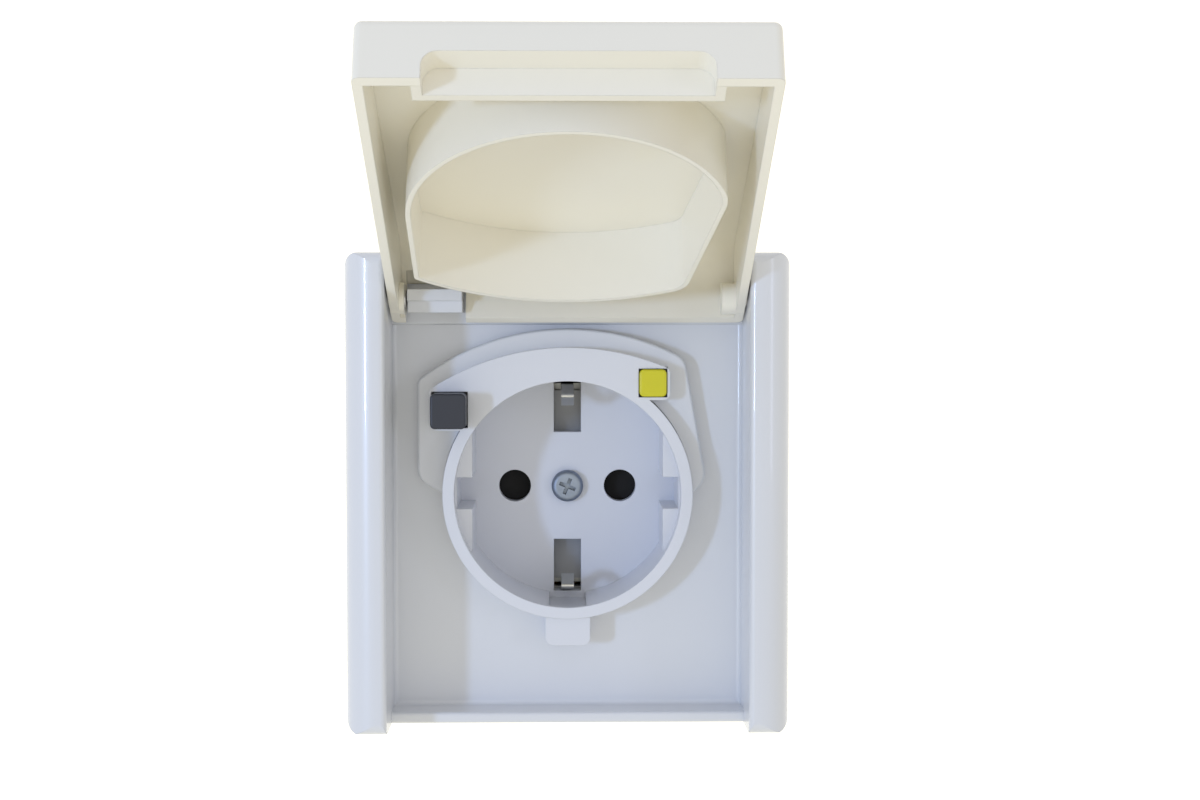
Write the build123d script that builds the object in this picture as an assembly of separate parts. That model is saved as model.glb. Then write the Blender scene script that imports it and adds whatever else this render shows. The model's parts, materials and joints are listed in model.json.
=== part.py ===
"""Flush residual current device socket-outlet with a hinged splash lid, in millimetres.

+Z is up, the front looks towards -Y, and the wall is the plane Y = 0. The origin is on the axis of the
round plug recess, in the wall plane. A "height" in this file is measured from the recessed plate towards
the viewer. The lid is drawn shut and then swung to its stop, which is the rest pose.
"""

import math
import os

from build123d import *

# Edges nearer than this count as the same edge
SAME_PLACE = 0.02
# Cutting bodies run this far past a face, and parts of one moulding sink this far into each other
PAST = 1.0
JOIN = 0.5

# Clearances between fitted pieces
FIT_GAP = 0.3
SEAT_GAP = 0.2
SCREW_GAP = 0.15
SLIDE_GAP = 0.1
WINDOW_GAP = 0.12
TIGHT_GAP = 0.05

# Cover frame: recessed plate between two tall rails
COVER_WIDTH = 75.0
COVER_TOP = 41.5
COVER_BOTTOM = -39.6
COVER_WALL = 2.0
PLATE_DEPTH = 6.0
GASKET_THICKNESS = 1.0
GASKET_MARGIN = 0.2
RAIL_WIDTH = 7.0
RAIL_HEIGHT = 16.8
RAIL_ROUND = 5.2
RAIL_EDGE = 1.0
RAIL_END_EDGE = 2.0
RAIL_END_ROUND = 2.6
RAIL_HOLLOW_ROUND = 2.4
RAIL_HOLLOW_EDGE = 0.3
FOOT_ROUND = 0.8
PLATE_TOP_INSET = 0.7
PLATE_ROLL_TOP = 3.0
LIP_HEIGHT = 6.8
LIP_THICKNESS = 1.9
LIP_EDGE = 0.6
HINGE_BAR_HEIGHT = 1.0
HINGE_BAR_EDGE = 0.4
HINGE_BAR_DROP = 12.2

# Raised step round the upper half of the collar
STEP_HEIGHT = 3.0
STEP_EDGE = 0.5
STEP_LEFT_MARGIN = 4.5
STEP_LEFT_TOP_RISE = 4.9
STEP_ARC_RISE = 3.2
STEP_RIGHT_TOP_SHIFT = (5.7, 4.1)
STEP_RIGHT_MARGIN = 2.6
STEP_RIGHT_LOW = 2.0
STEP_LEFT_LOW = 2.5
STEP_TUCK = 4.0
STEP_ARC_X = 0.6
STEP_ROUNDS = (1.6, 3.4, 3.5, 3.0)

# Plug recess, collar and lugs
RECESS_RADIUS = 19.6
RECESS_DEPTH = 17.5
COLLAR_WALL = 2.0
COLLAR_HEIGHT = 6.3
FLOOR_THICKNESS = 2.5
FLAT_INSET = 3.0
FLAT_SETBACK = 3.3
GROOVE_HALF_WIDTH = 2.75
GROOVE_INSET = 0.3
COLLAR_ARC_RISE = 3.8
COLLAR_ARC_X = 0.3
LUG_WALL = 0.5
LUG_LEFT_RISE = 3.37
LUG_RIGHT_RISE = 2.38
LUG_ROUNDS = (1.2, 1.0, 1.2, 1.2)
TAB_HALF_WIDTH = 3.9
TAB_LENGTH = 4.8
TAB_HEIGHT = 5.3
TAB_ROUND = 1.4
PIN_SPACING = 19.0
PIN_HOLE_RADIUS = 2.88
EARTH_SLOT_HALF_WIDTH = 2.45
EARTH_SLOT_INNER = 9.75
EARTH_SLOT_INSET = 0.4
EARTH_POCKET_HALF_WIDTH = 3.25
EARTH_POCKET_DEPTH = 0.8
EARTH_POCKET_TOP = 1.2

# Buttons
RESET_SIZE = 6.0
RESET_ANGLE = 144.1
RESET_OUTSIDE = 5.46
RESET_PROUD = 5.7
RESET_TRAVEL = 4.0
RESET_HEAD_LENGTH = 7.0
RESET_STEM = 2.4
RESET_STEM_SHIFT = (0.6, 0.0)
TEST_SIZE = 4.7
TEST_ANGLE = 52.7
TEST_OUTSIDE = 4.66
TEST_PROUD = 0.5
TEST_TRAVEL = 1.5
TEST_HEAD_LENGTH = 3.6
TEST_STEM = 2.0
TEST_STEM_SHIFT = (0.3, 0.4)
BUTTON_GAP = 0.12
BUTTON_ROUND = 0.8
BUTTON_EDGE = 0.35

# Lid
LID_OPEN = 115.0
HINGE_HEIGHT = 7.0
HINGE_DROP = 7.7
LID_GAP = 0.3
LID_FRONT_RISE = 4.4
LID_BACK_REACH = 4.2
LID_OUTER = 18.1
LID_PANEL = 2.0
LID_WALL = 1.5
LID_EDGE_FRONT = 8.2
LID_EDGE_BACK = 4.4
LID_BACK_ROUND = 9.0
LID_FRONT_ROUND = 1.5
LID_HOLLOW_ROUND = 0.4
LID_SIDE_ROUND = 1.2
RING_MARGIN = 3.5
RING_LEFT_TOP_DROP = 0.2
RING_ARC_DROP = 1.0
RING_RIGHT_TOP_SHIFT = (4.9, 3.5)
RING_RIGHT_TURN = 12.5
RING_ROUNDS = (1.2, 4.4, 9.0)
RING_WALL = 0.8
RING_EDGE_BACK = 3.35
RING_EDGE_FRONT = 6.0
NOTCH_HALF_WIDTH = 20.6
NOTCH_HEIGHT = 4.4
NOTCH_DEPTH = 4.6
NOTCH_ROUND = 2.4
HINGE_PIN_RADIUS = 1.5
HINGE_PIN_GAP = 0.06
HINGE_PIN_INSIDE = 2.6
HINGE_PIN_PAST = 0.4
HINGE_BOSS_RADIUS = 2.7
HINGE_BOSS_LENGTH = 2.4
KEEPER_INSIDE = 2.9
KEEPER_WIDTH = 9.3
KEEPER_BELOW = 2.4
KEEPER_ABOVE = 1.6
KEEPER_HEIGHT = 7.4
KEEPER_LIP = 1.3
KEEPER_CLEARANCE = 0.5
KEEPER_RELIEF = 1.8

# Strap and rear housing
STRAP_THICKNESS = 1.2
STRAP_MARGIN = 0.5
STRAP_CORNER = 4.0
BOX_SCREW_SPACING = 60.0
BOX_SLOT_WIDTH = 3.6
BOX_SLOT_LENGTH = 6.0
BOX_SCREW_ROOM = 4.8
HOUSING_WALL = 1.6
HOUSING_STEM_GAP = 0.64
STRAP_STEM_GAP = 0.5
RIB_HALF_WIDTH = 1.7
RIB_LENGTH = 10.9

# Contact base
BASE_PLATE = 2.2
BASE_HALF_WIDTH = 14.6
BASE_HALF_HEIGHT = 7.0
BASE_LENGTH = 17.7
CAVITY_HALF_WIDTH = 3.9
CAVITY_HALF_HEIGHT = 3.6
CAVITY_BACK_WALL = 0.8
CONTACT_THICKNESS = 0.6
CONTACT_HALF_WIDTH = 3.0
CONTACT_HALF_GAP = 2.7
CONTACT_FRONT_GAP = 1.0
CONTACT_BACK_GAP = 0.4
CONTACT_FLARE = 0.9
CONTACT_FLARE_LENGTH = 2.6
CONTACT_BELLY = 0.5
CONTACT_BELLY_LENGTH = 4.0
EARTH_THICKNESS = 0.8
EARTH_STRIP_HALF_WIDTH = 4.0
EARTH_CLIP_HALF_WIDTH = 1.1
EARTH_LEG_INSET = 1.2
EARTH_STRIP_DROP = 0.9
EARTH_SLIT_GAP = 0.4
EARTH_BEND = 3.0
EARTH_CLIP_REACH = 4.2
EARTH_CLIP_LENGTH = 8.0
EARTH_MOUTH = 1.4
EARTH_MOUTH_LENGTH = 2.4
EARTH_TAIL_HALF_WIDTH = 1.5

# Shutter behind the pin holes
SHUTTER_THICKNESS = 1.5
SHUTTER_PAD = 3.2
SHUTTER_TRAVEL = 6.0
SHUTTER_BAR = 1.2
SHUTTER_GAP = 0.2

# Switching contacts
BAR_SIDE = 1.2
BAR_BEHIND_BASE = 2.8
BRIDGE_Z = 14.5
LINE_TIPS = (-12.0, -5.0)
NEUTRAL_TIPS = (9.5, 2.5)
RIVET_RADIUS = 1.3
RIVET_HEIGHT = 0.75
RIVET_GAP = 0.05
BRIDGE_THICKNESS = 0.8
BRIDGE_HALF_HEIGHT = 1.6
BRIDGE_PAST = 0.2
CARRIER_THICKNESS = 2.5
CARRIER_DROP = 2.4
CARRIER_LEFT_PAST = 0.4
CARRIER_RIGHT_PAST = 0.6
BAR_CORE_GAP = 3.0
BAR_SHORT = 1.5

# Current transformer
CORE_RADIUS = 4.6
CORE_BORE = 3.0
CORE_HEIGHT = 5.0
CORE_TOP = -2.6
WINDING_THICKNESS = 0.5
PRIMARY_X = 1.3
PRIMARY_BEHIND_BAR = 2.7

# Trip relay, plunger and latch
RELAY_Z = -12.5
RELAY_BEHIND_PLATE = 5.9
RELAY_FROM_LATCH = 2.5
RELAY_LENGTH = 10.5
BOBBIN_RADIUS = 4.2
BOBBIN_FLANGE = 0.8
BOBBIN_WALL = 0.6
COIL_RADIUS = 3.7
PLUNGER_RADIUS = 1.6
PLUNGER_GAP = 0.08
PLUNGER_PAST = 2.2
PLUNGER_HEAD_RADIUS = 2.4
PLUNGER_HEAD_THICKNESS = 0.6
YOKE_THICKNESS = 0.9
YOKE_INSET = 0.4
LATCH_SHIFT = 0.3
LATCH_PIVOT_Z = 2.0
LATCH_WIDTH = 2.0
LATCH_THICKNESS = 1.6
LATCH_PIN_RADIUS = 0.8
LATCH_HUB_RADIUS = 1.7
LATCH_BELOW = 1.8
LATCH_PIN_PAST = 0.8

# Terminals
TERMINAL_X = 12.0
TERMINAL_SIDE_GAP = 0.4
TERMINAL_WIDTH = 6.4
TERMINAL_HEIGHT = 7.0
TERMINAL_WALL = 0.8
TERMINAL_BEHIND_BAR = 1.2
TERMINAL_LENGTH = 6.2
TERMINAL_BACK_GAP = 0.6
TERMINAL_SCREW_RADIUS = 1.5
TERMINAL_SCREW_LENGTH = 3.2
TERMINAL_HEAD_RADIUS = 2.0
TERMINAL_HEAD_HEIGHT = 1.2
TERMINAL_SLOT = 0.6
WIRE_ENTRY_RADIUS = 1.9

# Circuit board; depths are measured from its front edge
BOARD_SIDE_GAP = 0.2
BOARD_THICKNESS = 1.2
BOARD_BEHIND_PLATE = 1.4
BOARD_BACK_GAP = 1.4
BOARD_LOW = -12.0
BOARD_TOP = 13.5
CHIP_FROM_EDGE = 3.5
CHIP_WIDTH = 4.0
CHIP_LENGTH = 5.2
CHIP_THICKNESS = 1.6
CHIP_LIFT = 0.3
CHIP_LEG = 0.8
CHIP_LEG_HEIGHT = 0.9
CHIP_LEG_WIDTH = 0.4
CHIP_LEG_PITCH = 1.27
CAPACITOR_FROM_EDGE = 12.5
CAPACITOR_RADIUS = 1.9
CAPACITOR_LENGTH = 3.6
CAPACITOR_LOW = 7.5
CAPACITOR_PITCH = 5.5
VARISTOR_FROM_EDGE = 13.0
VARISTOR_RADIUS = 2.6
VARISTOR_THICKNESS = 2.6
VARISTOR_DROP = 7.5
VARISTOR_EDGE = 0.6
RESISTOR_FROM_EDGE = 19.0
RESISTOR_RADIUS = 0.8
RESISTOR_LENGTH = 3.6
RESISTOR_LOW = 2.0
RESISTOR_PITCH = 5.5
THYRISTOR_FROM_EDGE = 2.5
THYRISTOR_DROP = 6.5
THYRISTOR_SIDE = 4.0
THYRISTOR_THICKNESS = 2.0
THYRISTOR_TAB = 2.0
THYRISTOR_TAB_THICKNESS = 0.6
TEST_STRIP_LENGTH = 10.9
TEST_STRIP_HALF_WIDTH = 1.2
TEST_STRIP_THICKNESS = 0.3

# Fasteners
COVER_SCREW_RADIUS = 1.5
COVER_SCREW_LENGTH = 18.0
COVER_HEAD_RADIUS = 2.85
COVER_HEAD_HEIGHT = 1.8
COVER_HEAD_ROUND = 0.9
CROSS_LENGTH = 3.0
CROSS_WIDTH = 0.62
CROSS_DEPTH = 1.0
CROSS_TURN = 22.0
COVER_NUT_SIDE = 5.5
COVER_NUT_THICKNESS = 2.4
COVER_NUT_BEHIND_PLATE = 5.9
SMALL_SCREW_RADIUS = 1.0
SMALL_HEAD_RADIUS = 1.5
SMALL_HEAD_HEIGHT = 1.1
SMALL_SCREW_LENGTH = 5.5
PILOT_PAST = 0.5
BASE_SCREW_ANGLE = 67.0
BASE_SCREW_MARGIN = 2.95
STRAP_SCREW_MARGIN = 3.0
STRAP_BOSS_RADIUS = 2.2
STRAP_BOSS_DEPTH = 7.5

# Springs
RESET_SPRING_WIRE = 0.4
RESET_SPRING_RADIUS = 2.2
RESET_SPRING_TURNS = 6
TEST_SPRING_WIRE = 0.3
TEST_SPRING_RADIUS = 1.7
TEST_SPRING_TURNS = 7
SHUTTER_SPRING_WIRE = 0.3
SHUTTER_SPRING_RADIUS = 0.7
SHUTTER_SPRING_LENGTH = 11.8
SHUTTER_SPRING_TURNS = 7


def y_at(height):
    """Depth coordinate of a height above the recessed plate."""
    return -(PLATE_DEPTH + height)


def polar(reach, degrees):
    """Place (X, Z) at a distance from the recess's axis."""
    return (reach * math.cos(math.radians(degrees)), reach * math.sin(math.radians(degrees)))


def shifted(place, shift):
    """A place (X, Z) moved by a shift."""
    return (place[0] + shift[0], place[1] + shift[1])


# Widths, heights and radii worked out from the sizes above
RAIL_INNER = COVER_WIDTH / 2 - RAIL_WIDTH
HINGE_Z = COVER_TOP - HINGE_DROP
HINGE_BAR_LOW = COVER_TOP - HINGE_BAR_DROP
LID_FRONT = COVER_BOTTOM + LID_FRONT_RISE
KEEPER_LOW = HINGE_Z - KEEPER_BELOW
KEEPER_TOP = HINGE_Z + KEEPER_ABOVE
LID_HALF_WIDTH = RAIL_INNER - LID_GAP
KEEPER_LEFT = KEEPER_INSIDE - LID_HALF_WIDTH
COLLAR_RADIUS = RECESS_RADIUS + COLLAR_WALL
WINDOW_RADIUS = COLLAR_RADIUS + WINDOW_GAP
EARTH_SLOT_OUTER = RECESS_RADIUS - EARTH_SLOT_INSET
EARTH_LEG_Z = RECESS_RADIUS - EARTH_LEG_INSET

# Button places and the outlines round them
RESET_CENTRE = polar(RECESS_RADIUS + RESET_OUTSIDE, RESET_ANGLE)
TEST_CENTRE = polar(RECESS_RADIUS + TEST_OUTSIDE, TEST_ANGLE)
RESET_STEM_AT = shifted(RESET_CENTRE, RESET_STEM_SHIFT)
TEST_STEM_AT = shifted(TEST_CENTRE, TEST_STEM_SHIFT)
RESET_TOP = COLLAR_HEIGHT + RESET_PROUD
TEST_TOP = COLLAR_HEIGHT + TEST_PROUD
COLLAR_ARC_TOP = COLLAR_RADIUS + COLLAR_ARC_RISE
STEP_LEFT = COLLAR_RADIUS + STEP_LEFT_MARGIN
STEP_LEFT_TOP = RESET_CENTRE[1] + STEP_LEFT_TOP_RISE
STEP_ARC_TOP = COLLAR_ARC_TOP + STEP_ARC_RISE
STEP_RIGHT_TOP = shifted(TEST_CENTRE, STEP_RIGHT_TOP_SHIFT)
RING_RADIUS = COLLAR_RADIUS + RING_MARGIN
RING_LEFT_TOP = STEP_LEFT_TOP - RING_LEFT_TOP_DROP
RING_ARC_TOP = STEP_ARC_TOP - RING_ARC_DROP
RING_RIGHT_TOP = shifted(TEST_CENTRE, RING_RIGHT_TOP_SHIFT)

# Rear housing: wide enough for both stems, flat where the box screws pass
RESET_CORNER = math.hypot(abs(RESET_STEM_AT[0]) + RESET_STEM / 2, RESET_STEM_AT[1] + RESET_STEM / 2)
TEST_CORNER = math.hypot(TEST_STEM_AT[0] + TEST_STEM / 2, TEST_STEM_AT[1] + TEST_STEM / 2)
HOUSING_INNER_RADIUS = max(RESET_CORNER, TEST_CORNER) + HOUSING_STEM_GAP
HOUSING_RADIUS = HOUSING_INNER_RADIUS + HOUSING_WALL
HOUSING_HALF_WIDTH = BOX_SCREW_SPACING / 2 - BOX_SCREW_ROOM
BASE_SCREW_AT = polar(COLLAR_RADIUS + BASE_SCREW_MARGIN, BASE_SCREW_ANGLE)
STRAP_SCREW_Z = COLLAR_RADIUS + STRAP_SCREW_MARGIN
TERMINAL_CORNER = math.sqrt(
    (HOUSING_INNER_RADIUS - TERMINAL_SIDE_GAP) ** 2 - (TERMINAL_X + TERMINAL_WIDTH / 2) ** 2
)
TERMINAL_Z = TERMINAL_HEIGHT / 2 - TERMINAL_CORNER
VARISTOR_TOP = BOARD_TOP - VARISTOR_DROP + VARISTOR_THICKNESS
BOARD_REACH = min(
    HOUSING_HALF_WIDTH - HOUSING_WALL,
    math.sqrt(HOUSING_INNER_RADIUS ** 2 - VARISTOR_TOP ** 2),
)
BOARD_X = BOARD_REACH - BOARD_SIDE_GAP - 2 * VARISTOR_RADIUS - BOARD_THICKNESS
BOARD_FACE = BOARD_X + BOARD_THICKNESS
LATCH_X = RESET_STEM_AT[0] - LATCH_SHIFT
RELAY_LEFT = LATCH_X + RELAY_FROM_LATCH

# Depths, one behind the other from the recess floor to the housing's back
FLOOR_Y = y_at(COLLAR_HEIGHT - RECESS_DEPTH)
FLOOR_BACK_Y = FLOOR_Y + FLOOR_THICKNESS
BASE_FRONT = FLOOR_BACK_Y + SEAT_GAP
BASE_PLATE_BACK = BASE_FRONT + BASE_PLATE
EARTH_STRIP_Y = BASE_PLATE_BACK + EARTH_STRIP_DROP
COVER_NUT_Y = BASE_PLATE_BACK + COVER_NUT_BEHIND_PLATE
RELAY_Y = BASE_PLATE_BACK + RELAY_BEHIND_PLATE
BASE_BACK = BASE_FRONT + BASE_LENGTH
CONTACT_BACK = BASE_BACK - CAVITY_BACK_WALL - CONTACT_BACK_GAP
BAR_Y = BASE_BACK + BAR_BEHIND_BASE
PRIMARY_Y = BAR_Y + PRIMARY_BEHIND_BAR
TERMINAL_FRONT = BAR_Y + TERMINAL_BEHIND_BAR
TERMINAL_BACK = TERMINAL_FRONT + TERMINAL_LENGTH
HOUSING_INNER_BACK = TERMINAL_BACK + TERMINAL_BACK_GAP
HOUSING_DEPTH = HOUSING_INNER_BACK + HOUSING_WALL
BOARD_FRONT = BASE_PLATE_BACK + BOARD_BEHIND_PLATE
BOARD_BACK = HOUSING_INNER_BACK - BOARD_BACK_GAP
FIXED_RIVET_FRONT = BAR_Y - BAR_SIDE / 2 - RIVET_HEIGHT
MOVING_RIVET_BACK = FIXED_RIVET_FRONT - RESET_TRAVEL - RIVET_GAP
BRIDGE_BACK = MOVING_RIVET_BACK - RIVET_HEIGHT
CARRIER_BACK = BRIDGE_BACK - BRIDGE_THICKNESS
CARRIER_FRONT = CARRIER_BACK - CARRIER_THICKNESS
TEST_STEM_END = BASE_PLATE_BACK - TEST_TRAVEL - SLIDE_GAP
SHUTTER_SPRING_TOP = SHUTTER_PAD + SHUTTER_SPRING_LENGTH
HINGE_AXIS = Axis((0, y_at(HINGE_HEIGHT), HINGE_Z), (1, 0, 0))


def block(x0, x1, y0, y1, z0, z1):
    """Box between two corners."""
    return Pos((x0 + x1) / 2, (y0 + y1) / 2, (z0 + z1) / 2) * Box(x1 - x0, y1 - y0, z1 - z0)


def rod_y(radius, y0, y1, x=0.0, z=0.0):
    """Cylinder along Y."""
    return Pos(x, (y0 + y1) / 2, z) * Rot(90, 0, 0) * Cylinder(radius, y1 - y0)


def rod_x(radius, x0, x1, y=0.0, z=0.0):
    """Cylinder along X."""
    return Pos((x0 + x1) / 2, y, z) * Rot(0, 90, 0) * Cylinder(radius, x1 - x0)


def rod_z(radius, z0, z1, x=0.0, y=0.0):
    """Cylinder along Z."""
    return Pos(x, y, (z0 + z1) / 2) * Cylinder(radius, z1 - z0)


def slab(sketch, y_front, y_back):
    """A sketch drawn as seen from the front (X right, Z up), pulled from y_back to y_front."""
    return extrude(Plane.XZ.offset(-y_back) * sketch, y_back - y_front)


def side_slab(sketch, x0, x1):
    """A sketch drawn in the YZ plane, pulled from x0 to x1."""
    return extrude(Plane.YZ.offset(x0) * sketch, x1 - x0)


def arc_outline(points, rounds):
    """Closed face through points; an entry ("arc", mid, end) bends the side before end through mid."""
    edges = []
    start = points[0]
    closing = [] if points[-1][0] == "arc" and points[-1][2] == points[0] else [points[0]]
    for item in points[1:] + closing:
        if item[0] == "arc":
            edges.append(ThreePointArc(start, item[1], item[2]))
            start = item[2]
        else:
            edges.append(Line(start, item))
            start = item
    face = make_face(Wire(edges))
    for place, radius in rounds:
        corner = min(face.vertices(), key=lambda v: math.dist((v.X, v.Y), place))
        face = fillet(corner, radius)
    return face


def grown(face, amount):
    """The same outline, moved out (or in, if negative) by an amount."""
    return Sketch() + offset(face, amount, kind=Kind.ARC)


def step_outline():
    """Outline of the raised step: straight left side, flat arc on top, leaning right side."""
    left_low = (-STEP_LEFT, STEP_LEFT_LOW)
    left_top = (-STEP_LEFT, STEP_LEFT_TOP)
    right_low = (COLLAR_RADIUS + STEP_RIGHT_MARGIN, STEP_RIGHT_LOW)
    points = [
        left_low,
        left_top,
        ("arc", (STEP_ARC_X, STEP_ARC_TOP), STEP_RIGHT_TOP),
        right_low,
        (RECESS_RADIUS, STEP_RIGHT_LOW - STEP_TUCK),
        (-RECESS_RADIUS, STEP_LEFT_LOW - STEP_TUCK),
    ]
    corners = (left_top, STEP_RIGHT_TOP, right_low, left_low)
    return Sketch() + arc_outline(points, list(zip(corners, STEP_ROUNDS)))


def ring_outline(inset):
    """Outline of the lid's inner ring: round below, straight on the left, leaning on the right."""
    turn = math.radians(-RING_RIGHT_TURN)
    left_low = (-RING_RADIUS, 0)
    left_top = (-RING_RADIUS, RING_LEFT_TOP)
    right_low = (RING_RADIUS * math.cos(turn), RING_RADIUS * math.sin(turn))
    points = [
        left_low,
        left_top,
        ("arc", (STEP_ARC_X, RING_ARC_TOP), RING_RIGHT_TOP),
        right_low,
        ("arc", (0, -RING_RADIUS), left_low),
    ]
    corners = (left_top, RING_RIGHT_TOP, right_low)
    return grown(Sketch() + arc_outline(points, list(zip(corners, RING_ROUNDS))), -inset)


def collar_outline():
    """Circle of the collar with the arc that carries the two button lugs."""
    half_reset = RESET_SIZE / 2 + BUTTON_GAP + LUG_WALL
    half_test = TEST_SIZE / 2 + BUTTON_GAP + LUG_WALL
    left_low = shifted(RESET_CENTRE, (-half_reset, -half_reset))
    left_top = shifted(RESET_CENTRE, (-half_reset, LUG_LEFT_RISE))
    right_top = shifted(TEST_CENTRE, (half_test, LUG_RIGHT_RISE))
    right_low = shifted(TEST_CENTRE, (half_test, -half_test))
    points = [
        left_low,
        left_top,
        ("arc", (COLLAR_ARC_X, COLLAR_ARC_TOP), right_top),
        right_low,
        (0, right_low[1]),
        (0, left_low[1]),
    ]
    corners = (left_low, left_top, right_top, right_low)
    lugs = arc_outline(points, list(zip(corners, LUG_ROUNDS)))
    return Sketch() + Circle(COLLAR_RADIUS) + lugs


def rail_bar(inset, outer_round, inner_round):
    """Right rail as a bar along Z, round on its outer front edge; an inset gives the hollow in it."""
    x0 = RAIL_INNER + inset
    x1 = COVER_WIDTH / 2 - inset
    front = y_at(RAIL_HEIGHT - inset)
    back = PAST if inset else -GASKET_THICKNESS
    low = COVER_BOTTOM + inset
    high = COVER_TOP - inset
    rounds = [((x1, front), outer_round), ((x0, front), inner_round)]
    section = arc_outline([(x0, back), (x0, front), (x1, front), (x1, back)], rounds)
    return extrude(Plane.XY.offset(low) * (Sketch() + section), high - low)


def rail():
    """Right rail with its ends rounded, seen from the front and from the side."""
    body = rail_bar(0, RAIL_ROUND, RAIL_EDGE)
    middle = (COVER_BOTTOM + COVER_TOP) / 2
    height = COVER_TOP - COVER_BOTTOM
    outline = Pos(RAIL_INNER, middle) * Rectangle(2 * RAIL_WIDTH, height)
    outline = fillet(outline.vertices().group_by(Axis.X)[-1], RAIL_END_ROUND)
    front = y_at(RAIL_HEIGHT)
    profile = Pos(front / 2, middle) * Rectangle(-front, height)
    profile = fillet(profile.vertices().group_by(Axis.X)[0], RAIL_END_EDGE)
    body = body & slab(outline, front, 0)
    return body & side_slab(profile, RAIL_INNER, COVER_WIDTH / 2)


def edges_at(edges, y, z):
    """The edges along X whose place is y, z."""
    return [e for e in edges if math.dist((e.center().Y, e.center().Z), (y, z)) < SAME_PLACE]


def cover_frame():
    """Shell with the recessed plate, rails, bottom lip, hinge bar, raised step and lid keeper."""
    inner = RAIL_INNER + JOIN
    low = COVER_BOTTOM
    high = COVER_TOP - PLATE_TOP_INSET
    bar_front = y_at(HINGE_BAR_HEIGHT)
    lip_front = y_at(LIP_HEIGHT)
    lip_top = low + LIP_THICKNESS
    shell = block(-inner, inner, y_at(0), -GASKET_THICKNESS, low, high)
    shell = shell + block(-inner, inner, bar_front, y_at(0), HINGE_BAR_LOW, high)
    shell = shell + block(-inner, inner, lip_front, y_at(0), low, lip_top)
    along = shell.edges().filter_by(Axis.X)
    shell = fillet(edges_at(along, lip_front, low) + edges_at(along, lip_front, lip_top), LIP_EDGE)
    along = shell.edges().filter_by(Axis.X)
    shell = fillet(edges_at(along, bar_front, high), PLATE_ROLL_TOP)
    along = shell.edges().filter_by(Axis.X)
    shell = fillet(edges_at(along, bar_front, HINGE_BAR_LOW), HINGE_BAR_EDGE)
    right = rail()
    shell = shell + right + mirror(right, Plane.YZ)
    feet = edges_at(shell.edges().filter_by(Axis.X), y_at(0), lip_top)
    for edge in shell.edges().filter_by(Axis.Z):
        middle = edge.center()
        if math.dist((abs(middle.X), middle.Y), (RAIL_INNER, y_at(0))) < SAME_PLACE:
            feet.append(edge)
    shell = fillet(feet, FOOT_ROUND)
    hollow = block(
        -COVER_WIDTH / 2 + COVER_WALL,
        COVER_WIDTH / 2 - COVER_WALL,
        y_at(-COVER_WALL),
        0,
        low + COVER_WALL,
        high - COVER_WALL,
    )
    cavity = rail_bar(COVER_WALL, RAIL_HOLLOW_ROUND, RAIL_HOLLOW_EDGE)
    shell = shell - hollow - cavity - mirror(cavity, Plane.YZ)
    step = slab(step_outline(), y_at(STEP_HEIGHT), y_at(0))
    edge = step.faces().sort_by(Axis.Y)[0].edges()
    shell = shell + fillet(edge, STEP_EDGE)
    keeper = block(
        KEEPER_LEFT, KEEPER_LEFT + KEEPER_WIDTH, y_at(KEEPER_HEIGHT), y_at(0), KEEPER_LOW, KEEPER_TOP
    )
    knuckle = block(
        KEEPER_LEFT,
        KEEPER_LEFT + KEEPER_WIDTH,
        y_at(KEEPER_HEIGHT + KEEPER_LIP),
        y_at(KEEPER_HEIGHT),
        (KEEPER_LOW + KEEPER_TOP) / 2,
        KEEPER_TOP,
    )
    shell = shell + keeper + knuckle
    window_front = y_at(STEP_HEIGHT + PAST)
    shell = shell - rod_y(WINDOW_RADIUS, window_front, 0)
    for (x, z), size in ((RESET_CENTRE, RESET_SIZE), (TEST_CENTRE, TEST_SIZE)):
        half = size / 2 + BUTTON_GAP + SEAT_GAP
        shell = shell - block(x - half, x + half, window_front, 0, z - half, z + half)
    bore = rod_x(
        HINGE_PIN_RADIUS + HINGE_PIN_GAP,
        -COVER_WIDTH / 2 + COVER_WALL,
        COVER_WIDTH / 2 - COVER_WALL,
        y_at(HINGE_HEIGHT),
        HINGE_Z,
    )
    gap = block(-RAIL_INNER, RAIL_INNER, y_at(RAIL_HEIGHT), y_at(0), COVER_BOTTOM, COVER_TOP)
    return shell - (bore - gap)


def wall_gasket():
    """Foam strip round the back edge of the cover."""
    half = COVER_WIDTH / 2 - GASKET_MARGIN
    low = COVER_BOTTOM + GASKET_MARGIN
    high = COVER_TOP - PLATE_TOP_INSET - GASKET_MARGIN
    width = COVER_WALL - 2 * GASKET_MARGIN
    outer = block(-half, half, -GASKET_THICKNESS, 0, low, high)
    inner = block(-half + width, half - width, -GASKET_THICKNESS, 0, low + width, high - width)
    return outer - inner


def button_well(centre, size, top, length, travel):
    """Square hole that a button's head slides in, with its end stop at the bottom."""
    half = size / 2 + BUTTON_GAP
    x, z = centre
    bottom = y_at(top - length - travel - FIT_GAP)
    return block(x - half, x + half, y_at(COLLAR_HEIGHT + PAST), bottom, z - half, z + half)


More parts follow.
